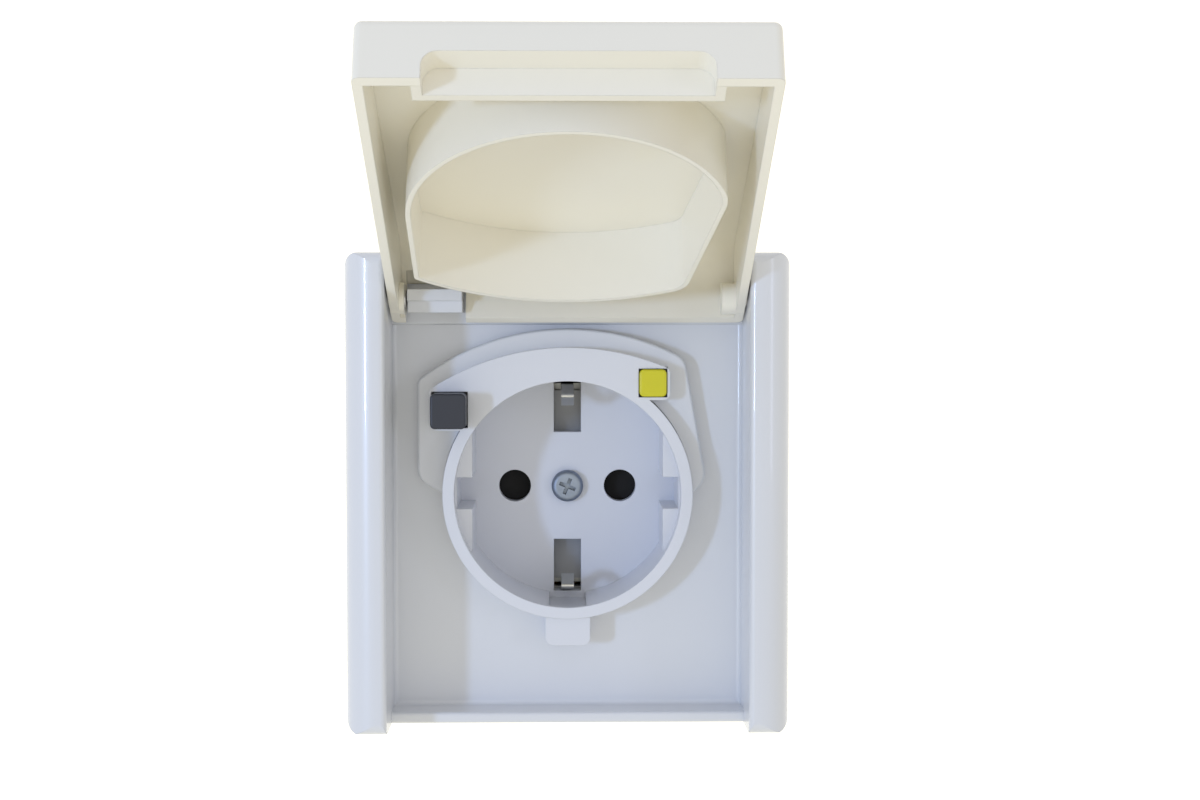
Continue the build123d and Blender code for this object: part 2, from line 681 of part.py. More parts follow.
def socket_cover():
    """Plug recess with its collar, button lugs and bottom tab, in one moulding."""
    rim = y_at(COLLAR_HEIGHT)
    tab_length = COLLAR_WALL + TAB_LENGTH
    tab_sketch = Pos(0, -RECESS_RADIUS - tab_length / 2) * Rectangle(2 * TAB_HALF_WIDTH, tab_length)
    tab_sketch = fillet(tab_sketch.vertices().group_by(Axis.Y)[0], TAB_ROUND)
    body = rod_y(COLLAR_RADIUS, y_at(STEP_HEIGHT), FLOOR_BACK_Y)
    body = body + slab(tab_sketch, y_at(TAB_HEIGHT), y_at(0))
    body = body + slab(collar_outline(), rim, y_at(STEP_HEIGHT))
    body = body - rod_y(RECESS_RADIUS, rim - PAST, rim + FLAT_SETBACK)
    flats = Circle(RECESS_RADIUS) & Rectangle(2 * (RECESS_RADIUS - FLAT_INSET), 2 * RECESS_RADIUS)
    grooves = Rectangle(2 * (RECESS_RADIUS - GROOVE_INSET), 2 * GROOVE_HALF_WIDTH)
    body = body - slab(Sketch() + flats + grooves, rim + FLAT_SETBACK - SAME_PLACE, FLOOR_Y)
    slot_middle = (EARTH_SLOT_INNER + EARTH_SLOT_OUTER) / 2
    slot = Rectangle(2 * EARTH_SLOT_HALF_WIDTH, EARTH_SLOT_OUTER - EARTH_SLOT_INNER)
    holes = Sketch() + Circle(COVER_SCREW_RADIUS + SCREW_GAP)
    for side in (-1, 1):
        holes = holes + Pos(side * PIN_SPACING / 2, 0) * Circle(PIN_HOLE_RADIUS)
        holes = holes + Pos(0, side * slot_middle) * slot
    body = body - slab(holes, FLOOR_Y - PAST, FLOOR_BACK_Y + PAST)
    pocket_top = rim + EARTH_POCKET_TOP
    half = EARTH_POCKET_HALF_WIDTH
    for side in (-1, 1):
        z0, z1 = sorted((side * (EARTH_SLOT_OUTER - PAST), side * (RECESS_RADIUS + EARTH_POCKET_DEPTH)))
        body = body - block(-half, half, pocket_top, FLOOR_Y, z0, z1)
    body = body - button_well(TEST_CENTRE, TEST_SIZE, TEST_TOP, TEST_HEAD_LENGTH, TEST_TRAVEL)
    body = body - button_well(RESET_CENTRE, RESET_SIZE, RESET_TOP, RESET_HEAD_LENGTH, RESET_TRAVEL)
    stems = [(RESET_STEM_AT, RESET_STEM), (TEST_STEM_AT, TEST_STEM)]
    for (x, z), side in stems:
        half = side / 2 + BUTTON_GAP
        body = body - block(x - half, x + half, rim, FLOOR_BACK_Y + PAST, z - half, z + half)
    return body


def square_button(centre, size, top, length, stem_at, stem_side, stem_end):
    """Square push button with rounded edges and an offset stem behind it."""
    outline = Pos(*centre) * RectangleRounded(size, size, BUTTON_ROUND)
    head = slab(outline, y_at(top), y_at(top - length))
    head = fillet(head.faces().sort_by(Axis.Y)[0].edges(), BUTTON_EDGE)
    stem = slab(Pos(*stem_at) * Rectangle(stem_side, stem_side), y_at(top - length), stem_end)
    return head + stem


def reset_button():
    """Dark on-and-reset button, shown popped out, with the stem that carries the switching contacts."""
    return square_button(
        RESET_CENTRE, RESET_SIZE, RESET_TOP, RESET_HEAD_LENGTH, RESET_STEM_AT, RESET_STEM, CARRIER_FRONT
    )


def test_button():
    """Yellow test button, almost flush with the collar."""
    return square_button(
        TEST_CENTRE, TEST_SIZE, TEST_TOP, TEST_HEAD_LENGTH, TEST_STEM_AT, TEST_STEM, TEST_STEM_END
    )


def lid_profile(inset):
    """Side view of the shut lid as (Y, Z) corners; inset gives the cavity."""
    back = HINGE_Z + LID_BACK_REACH
    round_z, round_h = back - LID_BACK_ROUND, LID_OUTER - LID_BACK_ROUND
    radius = LID_BACK_ROUND - inset
    top = LID_OUTER - inset
    front = LID_FRONT + inset
    mid = (y_at(round_h + radius * math.sin(math.pi / 4)), round_z + radius * math.cos(math.pi / 4))
    low_front = -PAST if inset else LID_EDGE_FRONT
    low_back = -PAST if inset else LID_EDGE_BACK
    points = [
        (y_at(low_front), front),
        (y_at(top), front),
        (y_at(top), round_z),
        ("arc", mid, (y_at(round_h), back - inset)),
        (y_at(low_back), back - inset),
    ]
    if inset == 0:
        points.append((y_at(low_back), HINGE_Z - LID_BACK_REACH))
    front_round = LID_HOLLOW_ROUND if inset else LID_FRONT_ROUND
    return Sketch() + arc_outline(points, [((y_at(top), front), front_round)])


def lid():
    """Splash lid with its walls, inner ring, finger notch and hinge bosses, drawn shut."""
    outer = side_slab(lid_profile(0), -LID_HALF_WIDTH, LID_HALF_WIDTH)
    sides = [e for e in outer.edges() if abs(abs(e.center().X) - LID_HALF_WIDTH) < SAME_PLACE]
    sides = [e for e in sides if e.center().Y < y_at(LID_EDGE_FRONT) or e.center().Z > HINGE_Z]
    sides = [e for e in sides if e.center().Y < y_at(LID_EDGE_BACK + JOIN)]
    outer = fillet(sides, LID_SIDE_ROUND)
    hollow = side_slab(lid_profile(LID_PANEL), -LID_HALF_WIDTH + LID_WALL, LID_HALF_WIDTH - LID_WALL)
    body = outer - hollow
    panel = y_at(LID_OUTER - LID_PANEL)
    ring = slab(ring_outline(0), panel - JOIN, y_at(0))
    ring = ring - slab(ring_outline(RING_WALL), panel - LID_PANEL, y_at(-PAST))
    trim = Polyline(
        (y_at(RING_EDGE_FRONT), LID_FRONT),
        (y_at(RING_EDGE_BACK), STEP_ARC_TOP),
        (0, STEP_ARC_TOP),
        (0, LID_FRONT),
        close=True,
    )
    ring = ring - side_slab(Sketch() + make_face(trim), -LID_HALF_WIDTH, LID_HALF_WIDTH)
    body = body + ring
    surround = block(
        -NOTCH_HALF_WIDTH - LID_WALL,
        NOTCH_HALF_WIDTH + LID_WALL,
        panel - JOIN,
        y_at(LID_EDGE_FRONT),
        LID_FRONT + LID_PANEL - JOIN,
        LID_FRONT + NOTCH_DEPTH + LID_WALL,
    )
    notch_sketch = Pos(0, y_at(LID_EDGE_FRONT)) * Rectangle(2 * NOTCH_HALF_WIDTH, 2 * NOTCH_HEIGHT)
    notch_sketch = fillet(notch_sketch.vertices(), NOTCH_ROUND)
    notch = extrude(Plane.XY.offset(LID_FRONT - PAST) * notch_sketch, NOTCH_DEPTH + PAST)
    body = body + surround - notch
    boss_y = y_at(HINGE_HEIGHT)
    for side in (-1, 1):
        x_out = side * LID_HALF_WIDTH
        x_in = side * (LID_HALF_WIDTH - LID_WALL - HINGE_BOSS_LENGTH)
        boss = rod_x(HINGE_BOSS_RADIUS, min(x_in, x_out), max(x_in, x_out), boss_y, HINGE_Z)
        body = body + boss
        pin_in = side * (LID_HALF_WIDTH - HINGE_PIN_INSIDE)
        pin_out = side * (LID_HALF_WIDTH + PAST)
        body = body - rod_x(HINGE_PIN_RADIUS, min(pin_in, pin_out), max(pin_in, pin_out), boss_y, HINGE_Z)
    reach = LID_BACK_REACH + KEEPER_RELIEF
    left = KEEPER_LEFT - KEEPER_CLEARANCE
    right = KEEPER_LEFT + KEEPER_WIDTH + KEEPER_CLEARANCE
    return body - rod_x(reach, left, right, boss_y, HINGE_Z)


def hinge_pins():
    """Two steel pins pressed into the lid that turn in the rails."""
    pins = []
    for side in (-1, 1):
        x0 = side * (LID_HALF_WIDTH - HINGE_PIN_INSIDE)
        x1 = side * (RAIL_INNER + COVER_WALL + HINGE_PIN_PAST)
        pins.append(rod_x(HINGE_PIN_RADIUS, min(x0, x1), max(x0, x1), y_at(HINGE_HEIGHT), HINGE_Z))
    return pins


def mounting_strap():
    """Pressed steel plate that screws to the wall box, with slots on the box's screw spacing."""
    half = COVER_WIDTH / 2 - COVER_WALL - STRAP_MARGIN
    low = COVER_BOTTOM + COVER_WALL + STRAP_MARGIN
    high = COVER_TOP - PLATE_TOP_INSET - COVER_WALL - STRAP_MARGIN
    outline = Pos(0, (low + high) / 2) * RectangleRounded(2 * half, high - low, STRAP_CORNER)
    outline = Sketch() + outline - Circle(WINDOW_RADIUS)
    for (x, z), side in ((RESET_STEM_AT, RESET_STEM), (TEST_STEM_AT, TEST_STEM)):
        opening = side + 2 * STRAP_STEM_GAP
        outline = outline - Pos(x, z) * Rectangle(opening, opening)
    for side in (-1, 1):
        spot = Pos(side * BOX_SCREW_SPACING / 2, 0)
        outline = outline - spot * SlotOverall(BOX_SLOT_LENGTH, BOX_SLOT_WIDTH, rotation=0)
        outline = outline - Pos(0, side * STRAP_SCREW_Z) * Circle(SMALL_SCREW_RADIUS + SLIDE_GAP)
    return slab(outline, -STRAP_THICKNESS, 0)


def housing_outline(inset):
    """Circle with two flats, so that the box screws pass beside it."""
    return Circle(HOUSING_RADIUS - inset) & Rectangle(
        2 * (HOUSING_HALF_WIDTH - inset), 2 * HOUSING_RADIUS
    )


def rear_housing():
    """Moulded cup behind the wall plane that holds the switch, relay and board."""
    body = slab(Sketch() + housing_outline(0), 0, HOUSING_DEPTH)
    body = body - slab(Sketch() + housing_outline(HOUSING_WALL), -PAST, HOUSING_INNER_BACK)
    inside = slab(Sketch() + housing_outline(HOUSING_WALL / 2), 0, HOUSING_DEPTH)
    pilot = SMALL_SCREW_LENGTH + PILOT_PAST
    for side in (-1, 1):
        near, far = sorted((side * (STRAP_SCREW_Z - STRAP_BOSS_RADIUS), side * HOUSING_RADIUS))
        boss = block(-STRAP_BOSS_RADIUS, STRAP_BOSS_RADIUS, 0, STRAP_BOSS_DEPTH, near, far)
        body = body + (boss & inside)
        body = body - rod_y(SMALL_SCREW_RADIUS, -PAST, pilot, 0, side * STRAP_SCREW_Z)
        near, far = sorted((side * (BASE_SCREW_AT[1] - RIB_HALF_WIDTH), side * HOUSING_RADIUS))
        rib_back = BASE_PLATE_BACK + RIB_LENGTH
        for across in (-1, 1):
            x, z = across * BASE_SCREW_AT[0], side * BASE_SCREW_AT[1]
            rib = block(x - RIB_HALF_WIDTH, x + RIB_HALF_WIDTH, BASE_PLATE_BACK, rib_back, near, far)
            body = body + (rib & inside)
            body = body - rod_y(SMALL_SCREW_RADIUS, BASE_FRONT, BASE_FRONT + pilot, x, z)
    screw_y = (TERMINAL_FRONT + TERMINAL_BACK) / 2
    for x in (-TERMINAL_X, 0, TERMINAL_X):
        entry = rod_y(WIRE_ENTRY_RADIUS, HOUSING_INNER_BACK - PAST, HOUSING_DEPTH + PAST, x, TERMINAL_Z)
        driver_hole = rod_z(
            TERMINAL_HEAD_RADIUS + SEAT_GAP, -HOUSING_RADIUS - PAST, TERMINAL_Z, x, screw_y
        )
        body = body - entry - driver_hole
    return body


def contact_base():
    """Moulded base that holds the pin contacts, the earth strip and the shutter."""
    front, back = BASE_FRONT - PAST, BASE_PLATE_BACK + PAST
    body = slab(Sketch() + housing_outline(HOUSING_WALL + SEAT_GAP), BASE_FRONT, BASE_PLATE_BACK)
    body = body + block(
        -BASE_HALF_WIDTH, BASE_HALF_WIDTH, BASE_PLATE_BACK, BASE_BACK, -BASE_HALF_HEIGHT, BASE_HALF_HEIGHT
    )
    for side in (-1, 1):
        x = side * PIN_SPACING / 2
        body = body - block(
            x - CAVITY_HALF_WIDTH,
            x + CAVITY_HALF_WIDTH,
            front,
            BASE_BACK - CAVITY_BACK_WALL,
            -CAVITY_HALF_HEIGHT,
            CAVITY_HALF_HEIGHT,
        )
        half = BAR_SIDE / 2 + TIGHT_GAP
        body = body - block(x - half, x + half, CONTACT_BACK, BASE_BACK + PAST, -half, half)
        half = SHUTTER_SPRING_RADIUS + SHUTTER_SPRING_WIRE
        groove = BASE_FRONT + 2 * SHUTTER_SPRING_RADIUS + SHUTTER_SPRING_WIRE + 2 * TIGHT_GAP
        body = body - block(x - half, x + half, front, groove, SHUTTER_PAD, SHUTTER_SPRING_TOP)
        z0, z1 = sorted(
            (side * (EARTH_LEG_Z - EARTH_THICKNESS - EARTH_SLIT_GAP), side * (EARTH_LEG_Z + EARTH_SLIT_GAP))
        )
        body = body - block(-EARTH_STRIP_HALF_WIDTH, EARTH_STRIP_HALF_WIDTH, front, back, z0, z1)
        body = body - rod_y(STRAP_BOSS_RADIUS + FIT_GAP, front, back, 0, side * STRAP_SCREW_Z)
        for across in (-1, 1):
            x, z = across * BASE_SCREW_AT[0], side * BASE_SCREW_AT[1]
            body = body - rod_y(SMALL_SCREW_RADIUS + SCREW_GAP, front, back, x, z)
    half = EARTH_STRIP_HALF_WIDTH + SLIDE_GAP
    tall = BASE_HALF_HEIGHT + PAST
    body = body - block(-half, half, EARTH_STRIP_Y, EARTH_STRIP_Y + EARTH_THICKNESS, -tall, tall)
    pocket = PIN_SPACING / 2 + SHUTTER_PAD + SHUTTER_GAP
    body = body - block(
        -pocket,
        pocket,
        front,
        BASE_FRONT + SHUTTER_THICKNESS + SHUTTER_GAP,
        -SHUTTER_PAD - SHUTTER_GAP,
        SHUTTER_PAD + SHUTTER_TRAVEL + SHUTTER_GAP,
    )
    body = body - rod_y(COVER_SCREW_RADIUS + SLIDE_GAP, front, BASE_BACK + PAST)
    half = COVER_NUT_SIDE / 2 + TIGHT_GAP
    body = body - block(-half, half, COVER_NUT_Y, COVER_NUT_Y + COVER_NUT_THICKNESS, -half, tall)
    for (x, z), side in ((RESET_STEM_AT, RESET_STEM), (TEST_STEM_AT, TEST_STEM)):
        half = side / 2 + SLIDE_GAP
        body = body - block(x - half, x + half, front, back, z - half, z + half)
    return body


def bent_strip(points, thickness):
    """Face of a thin strip that follows a bent line."""
    return Sketch() + make_face(offset(Polyline(*points), thickness / 2, kind=Kind.INTERSECTION))


def pin_contact(side):
    """Sprung fork that grips one plug pin."""
    x = side * PIN_SPACING / 2
    front = BASE_PLATE_BACK + CONTACT_FRONT_GAP
    waist = front + CONTACT_FLARE_LENGTH
    blade = [
        (CONTACT_HALF_GAP + CONTACT_FLARE, front),
        (CONTACT_HALF_GAP, waist),
        (CONTACT_HALF_GAP + CONTACT_BELLY, waist + CONTACT_BELLY_LENGTH),
        (CONTACT_HALF_GAP + CONTACT_BELLY, CONTACT_BACK),
    ]
    left = [(x - away, y) for away, y in blade]
    right = [(x + away, y) for away, y in reversed(blade)]
    face = bent_strip(left + right, CONTACT_THICKNESS)
    return extrude(Plane.XY.offset(-CONTACT_HALF_WIDTH) * face, 2 * CONTACT_HALF_WIDTH)


def earth_bridge():
    """Earth strip with a sprung clip at the top and bottom of the recess and a tail to its terminal."""
    half = EARTH_STRIP_HALF_WIDTH - SLIDE_GAP
    back = EARTH_STRIP_Y + EARTH_THICKNESS
    leg = EARTH_LEG_Z - EARTH_THICKNESS / 2
    tip = RECESS_RADIUS - EARTH_CLIP_REACH
    bend_y = FLOOR_Y - EARTH_BEND
    tip_y = FLOOR_Y - EARTH_CLIP_LENGTH
    body = block(-half, half, EARTH_STRIP_Y, back, -EARTH_LEG_Z, EARTH_LEG_Z)
    for side in (-1, 1):
        points = [
            ((EARTH_STRIP_Y + back) / 2, side * leg),
            (bend_y, side * leg),
            (tip_y, side * tip),
            (tip_y - EARTH_MOUTH_LENGTH, side * (tip + EARTH_MOUTH)),
        ]
        clip = bent_strip(points, EARTH_THICKNESS)
        body = body + side_slab(clip, -EARTH_CLIP_HALF_WIDTH, EARTH_CLIP_HALF_WIDTH)
    body = body - rod_y(COVER_SCREW_RADIUS + SCREW_GAP, EARTH_STRIP_Y - PAST, back + PAST)
    tail_top = TERMINAL_Z + TERMINAL_HEIGHT / 2 - TERMINAL_WALL
    tail = block(
        -EARTH_TAIL_HALF_WIDTH,
        EARTH_TAIL_HALF_WIDTH,
        EARTH_STRIP_Y,
        TERMINAL_BACK - BAR_SHORT,
        tail_top - EARTH_THICKNESS,
        tail_top,
    )
    return body + tail


def shutter():
    """Child-safety slider: two pads over the pin holes, joined above the screw."""
    y0, y1 = BASE_FRONT, BASE_FRONT + SHUTTER_THICKNESS
    body = block(-PIN_SPACING / 2, PIN_SPACING / 2, y0, y1, SHUTTER_PAD - SHUTTER_BAR, SHUTTER_PAD)
    for side in (-1, 1):
        x = side * PIN_SPACING / 2
        body = body + block(x - SHUTTER_PAD, x + SHUTTER_PAD, y0, y1, -SHUTTER_PAD, SHUTTER_PAD)
    return body


def coil_spring(wire, radius, length, turns):
    """Open helix along Z from 0 to its length, as one round wire."""
    pitch = (length - 2 * wire) / turns
    helix = Helix(pitch, length - 2 * wire, radius)
    start = helix @ 0
    along = helix % 0
    section = Plane(origin=start, z_dir=along) * Circle(wire / 2)
    return Pos(0, 0, wire) * sweep(section, path=helix, is_frenet=True)


def stem_spring(stem_at, head_back, wire, radius, turns):
    """Return spring round a button's stem, between the head and the strap."""
    coil = coil_spring(wire, radius, -STRAP_THICKNESS - head_back, turns)
    return Pos(stem_at[0], head_back, stem_at[1]) * Rot(-90, 0, 0) * coil


def reset_spring():
    """Spring that pops the reset button out."""
    head_back = y_at(RESET_TOP - RESET_HEAD_LENGTH)
    return stem_spring(
        RESET_STEM_AT, head_back, RESET_SPRING_WIRE, RESET_SPRING_RADIUS, RESET_SPRING_TURNS
    )


def test_spring():
    """Spring that lifts the test button."""
    head_back = y_at(TEST_TOP - TEST_HEAD_LENGTH)
    return stem_spring(TEST_STEM_AT, head_back, TEST_SPRING_WIRE, TEST_SPRING_RADIUS, TEST_SPRING_TURNS)


def shutter_springs():
    """Two light springs that hold the shutter down."""
    coil = coil_spring(
        SHUTTER_SPRING_WIRE, SHUTTER_SPRING_RADIUS, SHUTTER_SPRING_LENGTH, SHUTTER_SPRING_TURNS
    )
    y = BASE_FRONT + SHUTTER_SPRING_RADIUS + SHUTTER_SPRING_WIRE / 2 + TIGHT_GAP
    return [Pos(side * PIN_SPACING / 2, y, SHUTTER_PAD) * coil for side in (-1, 1)]


def bus_bar(points):
    """Square copper bar along a route of straight runs."""
    half = BAR_SIDE / 2
    body = None
    for a, b in zip(points, points[1:]):
        low = [min(a[i], b[i]) - half for i in range(3)]
        high = [max(a[i], b[i]) + half for i in range(3)]
        run = block(low[0], high[0], low[1], high[1], low[2], high[2])
        body = run if body is None else body + run
    return body


def input_bar(tip_x, primary_x, terminal_x):
    """From the fixed contact through the current transformer to a terminal."""
    inside_top = TERMINAL_Z + TERMINAL_HEIGHT / 2 - TERMINAL_WALL - BAR_SIDE / 2
    above = CORE_TOP + BAR_CORE_GAP
    below = CORE_TOP - CORE_HEIGHT - BAR_CORE_GAP
    return bus_bar(
        [
            (tip_x, BAR_Y, BRIDGE_Z),
            (primary_x, BAR_Y, BRIDGE_Z),
            (primary_x, BAR_Y, above),
            (primary_x, PRIMARY_Y, above),
            (primary_x, PRIMARY_Y, below),
            (primary_x, BAR_Y, below),
            (terminal_x, BAR_Y, below),
            (terminal_x, BAR_Y, inside_top),
            (terminal_x, TERMINAL_BACK - BAR_SHORT, inside_top),
        ]
    )


def output_bar(tip_x, contact_x):
    """From the fixed contact to the back of a pin contact."""
    contact_back = CONTACT_BACK + CONTACT_THICKNESS / 2
    return bus_bar(
        [
            (tip_x, BAR_Y, BRIDGE_Z),
            (contact_x, BAR_Y, BRIDGE_Z),
            (contact_x, BAR_Y, 0),
            (contact_x, contact_back + BAR_SIDE / 2, 0),
        ]
    )


def rivets(y_front, y_back):
    """Four round contact rivets, one for each bar end."""
    return [rod_y(RIVET_RADIUS, y_front, y_back, x, BRIDGE_Z) for x in LINE_TIPS + NEUTRAL_TIPS]


def moving_bridge(tips):
    """Contact bridge that closes one pole."""
    past = RIVET_RADIUS + BRIDGE_PAST
    z0, z1 = BRIDGE_Z - BRIDGE_HALF_HEIGHT, BRIDGE_Z + BRIDGE_HALF_HEIGHT
    return block(min(tips) - past, max(tips) + past, CARRIER_BACK, BRIDGE_BACK, z0, z1)


def contact_carrier():
    """Moulded arm on the end of the reset stem that carries both bridges."""
    left = RESET_STEM_AT[0] - RESET_STEM / 2 - CARRIER_LEFT_PAST
    right = max(NEUTRAL_TIPS) + RIVET_RADIUS + CARRIER_RIGHT_PAST
    top = RESET_STEM_AT[1] + RESET_STEM / 2
    return block(left, right, CARRIER_FRONT, CARRIER_BACK, BRIDGE_Z - CARRIER_DROP, top)


def trip_latch():
    """Lever on a pin: the lower end meets the plunger, the upper end catches the reset stem."""
    y0, y1 = RELAY_Y - LATCH_THICKNESS / 2, RELAY_Y + LATCH_THICKNESS / 2
    half = LATCH_WIDTH / 2
    nose = RESET_STEM_AT[1] - RESET_STEM / 2 - FIT_GAP
    body = block(LATCH_X - half, LATCH_X + half, y0, y1, RELAY_Z - LATCH_BELOW, nose)
    body = body + rod_y(LATCH_HUB_RADIUS, y0, y1, LATCH_X, LATCH_PIVOT_Z)
    return body - rod_y(LATCH_PIN_RADIUS + TIGHT_GAP, y0 - PAST, y1 + PAST, LATCH_X, LATCH_PIVOT_Z)


def latch_pin():
    """Pin that the latch turns on, held in the base plate."""
    end = RELAY_Y + LATCH_THICKNESS / 2 + LATCH_PIN_PAST
    return rod_y(LATCH_PIN_RADIUS, BASE_PLATE_BACK, end, LATCH_X, LATCH_PIVOT_Z)


def relay_bobbin():
    """Spool of the trip relay."""
    left, right = RELAY_LEFT, RELAY_LEFT + RELAY_LENGTH
    bore = PLUNGER_RADIUS + PLUNGER_GAP
    body = rod_x(bore + BOBBIN_WALL, left, right, RELAY_Y, RELAY_Z)
    body = body + rod_x(BOBBIN_RADIUS, left, left + BOBBIN_FLANGE, RELAY_Y, RELAY_Z)
    body = body + rod_x(BOBBIN_RADIUS, right - BOBBIN_FLANGE, right, RELAY_Y, RELAY_Z)
    return body - rod_x(bore, left - PAST, right + PAST, RELAY_Y, RELAY_Z)


def relay_coil():
    """Copper winding on the bobbin."""
    left, right = RELAY_LEFT + BOBBIN_FLANGE, RELAY_LEFT + RELAY_LENGTH - BOBBIN_FLANGE
    inner = PLUNGER_RADIUS + PLUNGER_GAP + BOBBIN_WALL
    bore = rod_x(inner, left - PAST, right + PAST, RELAY_Y, RELAY_Z)
    return rod_x(COIL_RADIUS, left, right, RELAY_Y, RELAY_Z) - bore


def relay_yoke():
    """Steel frame round the bobbin."""
    left, right = RELAY_LEFT, RELAY_LEFT + RELAY_LENGTH
    back = RELAY_Y + BOBBIN_RADIUS + SLIDE_GAP
    front = RELAY_Y - BOBBIN_RADIUS
    half = BOBBIN_RADIUS - YOKE_INSET
    low, high = RELAY_Z - half, RELAY_Z + half
    body = block(left - YOKE_THICKNESS, right + YOKE_THICKNESS, back, back + YOKE_THICKNESS, low, high)
    body = body + block(left - YOKE_THICKNESS, left, front, back, low, high)
    body = body + block(right, right + YOKE_THICKNESS, front, back, low, high)
    hole = rod_x(
        PLUNGER_RADIUS + SEAT_GAP,
        left - YOKE_THICKNESS - PAST,
        right + YOKE_THICKNESS + PAST,
        RELAY_Y,
        RELAY_Z,
    )
    return body - hole


def trip_plunger():
    """Steel plunger that pushes the latch when the relay fires."""
    left = LATCH_X + LATCH_WIDTH / 2 + FIT_GAP
    right = RELAY_LEFT + RELAY_LENGTH + YOKE_THICKNESS + PLUNGER_PAST
    head = rod_x(PLUNGER_HEAD_RADIUS, right - PLUNGER_HEAD_THICKNESS, right, RELAY_Y, RELAY_Z)
    return rod_x(PLUNGER_RADIUS, left, right, RELAY_Y, RELAY_Z) + head


def terminal(x):
    """Cage of one screw terminal."""
    half, tall = TERMINAL_WIDTH / 2, TERMINAL_HEIGHT / 2
    y0, y1 = TERMINAL_FRONT, TERMINAL_BACK
    body = block(x - half, x + half, y0, y1, TERMINAL_Z - tall, TERMINAL_Z + tall)
    bore = Pos(x, TERMINAL_Z) * Rectangle(2 * (half - TERMINAL_WALL), 2 * (tall - TERMINAL_WALL))
    body = body - slab(bore, y0 - PAST, y1 + PAST)
    return body - rod_z(TERMINAL_SCREW_RADIUS, TERMINAL_Z - tall - PAST, TERMINAL_Z, x, (y0 + y1) / 2)


def terminal_screws():
    """Three slotted screws that clamp the wires from below."""
    screws = []
    y = (TERMINAL_FRONT + TERMINAL_BACK) / 2
    low = TERMINAL_Z - TERMINAL_HEIGHT / 2
    head_low = low - TERMINAL_HEAD_HEIGHT
    half = TERMINAL_SLOT / 2
    reach = TERMINAL_HEAD_RADIUS + PAST
    for x in (-TERMINAL_X, 0, TERMINAL_X):
        screw = rod_z(TERMINAL_SCREW_RADIUS, low, low + TERMINAL_SCREW_LENGTH, x, y)
        head = rod_z(TERMINAL_HEAD_RADIUS, head_low, low, x, y)
        slot = block(x - reach, x + reach, y - half, y + half, head_low - PAST, head_low + TERMINAL_SLOT)
        screws.append(screw + head - slot)
    return screws


def transformer_core():
    """Ring core that both supply bars run through."""
    z0, z1 = CORE_TOP - CORE_HEIGHT, CORE_TOP
    bore = rod_z(CORE_BORE, z0 - PAST, z1 + PAST, 0, PRIMARY_Y)
    return rod_z(CORE_RADIUS, z0, z1, 0, PRIMARY_Y) - bore


def transformer_winding():
    """Sense winding: a thin wrap over part of the core."""
    z0, z1 = CORE_TOP - CORE_HEIGHT - WINDING_THICKNESS, CORE_TOP + WINDING_THICKNESS
    reach = CORE_RADIUS + WINDING_THICKNESS
    outer = rod_z(reach, z0, z1, 0, PRIMARY_Y)
    inner = rod_z(CORE_BORE - WINDING_THICKNESS, z0 - PAST, z1 + PAST, 0, PRIMARY_Y)
    half = block(0, reach, PRIMARY_Y - reach, PRIMARY_Y + reach, z0, z1)
    return (outer - inner - transformer_core()) & half


def circuit_board():
    """Upright board at the right of the housing."""
    return block(BOARD_X, BOARD_FACE, BOARD_FRONT, BOARD_BACK, BOARD_LOW, BOARD_TOP)


def board_chip():
    """Earth-leakage amplifier in a small flat package with its legs."""
    y0 = BOARD_FRONT + CHIP_FROM_EDGE
    y1 = y0 + CHIP_WIDTH
    low = BOARD_FACE + CHIP_LIFT
    body = block(low, low + CHIP_THICKNESS, y0, y1, -CHIP_LENGTH / 2, CHIP_LENGTH / 2)
    half = CHIP_LEG_WIDTH / 2
    for row in range(4):
        z = (row - 1.5) * CHIP_LEG_PITCH
        for y in (y0 - CHIP_LEG, y1):
            leg = block(BOARD_FACE, BOARD_FACE + CHIP_LEG_HEIGHT, y, y + CHIP_LEG, z - half, z + half)
            body = body + leg
    return body


def board_capacitors():
    """Two round capacitors standing on the board."""
    y = BOARD_FRONT + CAPACITOR_FROM_EDGE
    low = BOARD_LOW + CAPACITOR_LOW
    heights = (low, low + CAPACITOR_PITCH)
    return [rod_x(CAPACITOR_RADIUS, BOARD_FACE, BOARD_FACE + CAPACITOR_LENGTH, y, z) for z in heights]


def board_varistor():
    """Disc that soaks up surges."""
    low = VARISTOR_TOP - VARISTOR_THICKNESS
    x, y = BOARD_FACE + VARISTOR_RADIUS, BOARD_FRONT + VARISTOR_FROM_EDGE
    return fillet(rod_z(VARISTOR_RADIUS, low, VARISTOR_TOP, x, y).edges(), VARISTOR_EDGE)


def board_resistors():
    """Row of small resistors, the test resistor among them."""
    x, y = BOARD_FACE + RESISTOR_RADIUS, BOARD_FRONT + RESISTOR_FROM_EDGE
    lows = [BOARD_LOW + RESISTOR_LOW + row * RESISTOR_PITCH for row in range(4)]
    return [rod_z(RESISTOR_RADIUS, low, low + RESISTOR_LENGTH, x, y) for low in lows]


def board_thyristor():
    """Flat power switch that feeds the relay coil, with its metal tab."""
    y0 = BOARD_FRONT + THYRISTOR_FROM_EDGE
    y1 = y0 + THYRISTOR_SIDE
    z0 = BOARD_TOP - THYRISTOR_DROP
    z1 = z0 + THYRISTOR_SIDE
    middle, half = (z0 + z1) / 2, THYRISTOR_TAB / 2
    case = block(BOARD_FACE, BOARD_FACE + THYRISTOR_THICKNESS, y0, y1, z0, z1)
    tab_face = BOARD_FACE + THYRISTOR_TAB_THICKNESS
    return case + block(BOARD_FACE, tab_face, y1, y1 + THYRISTOR_TAB, middle - half, middle + half)


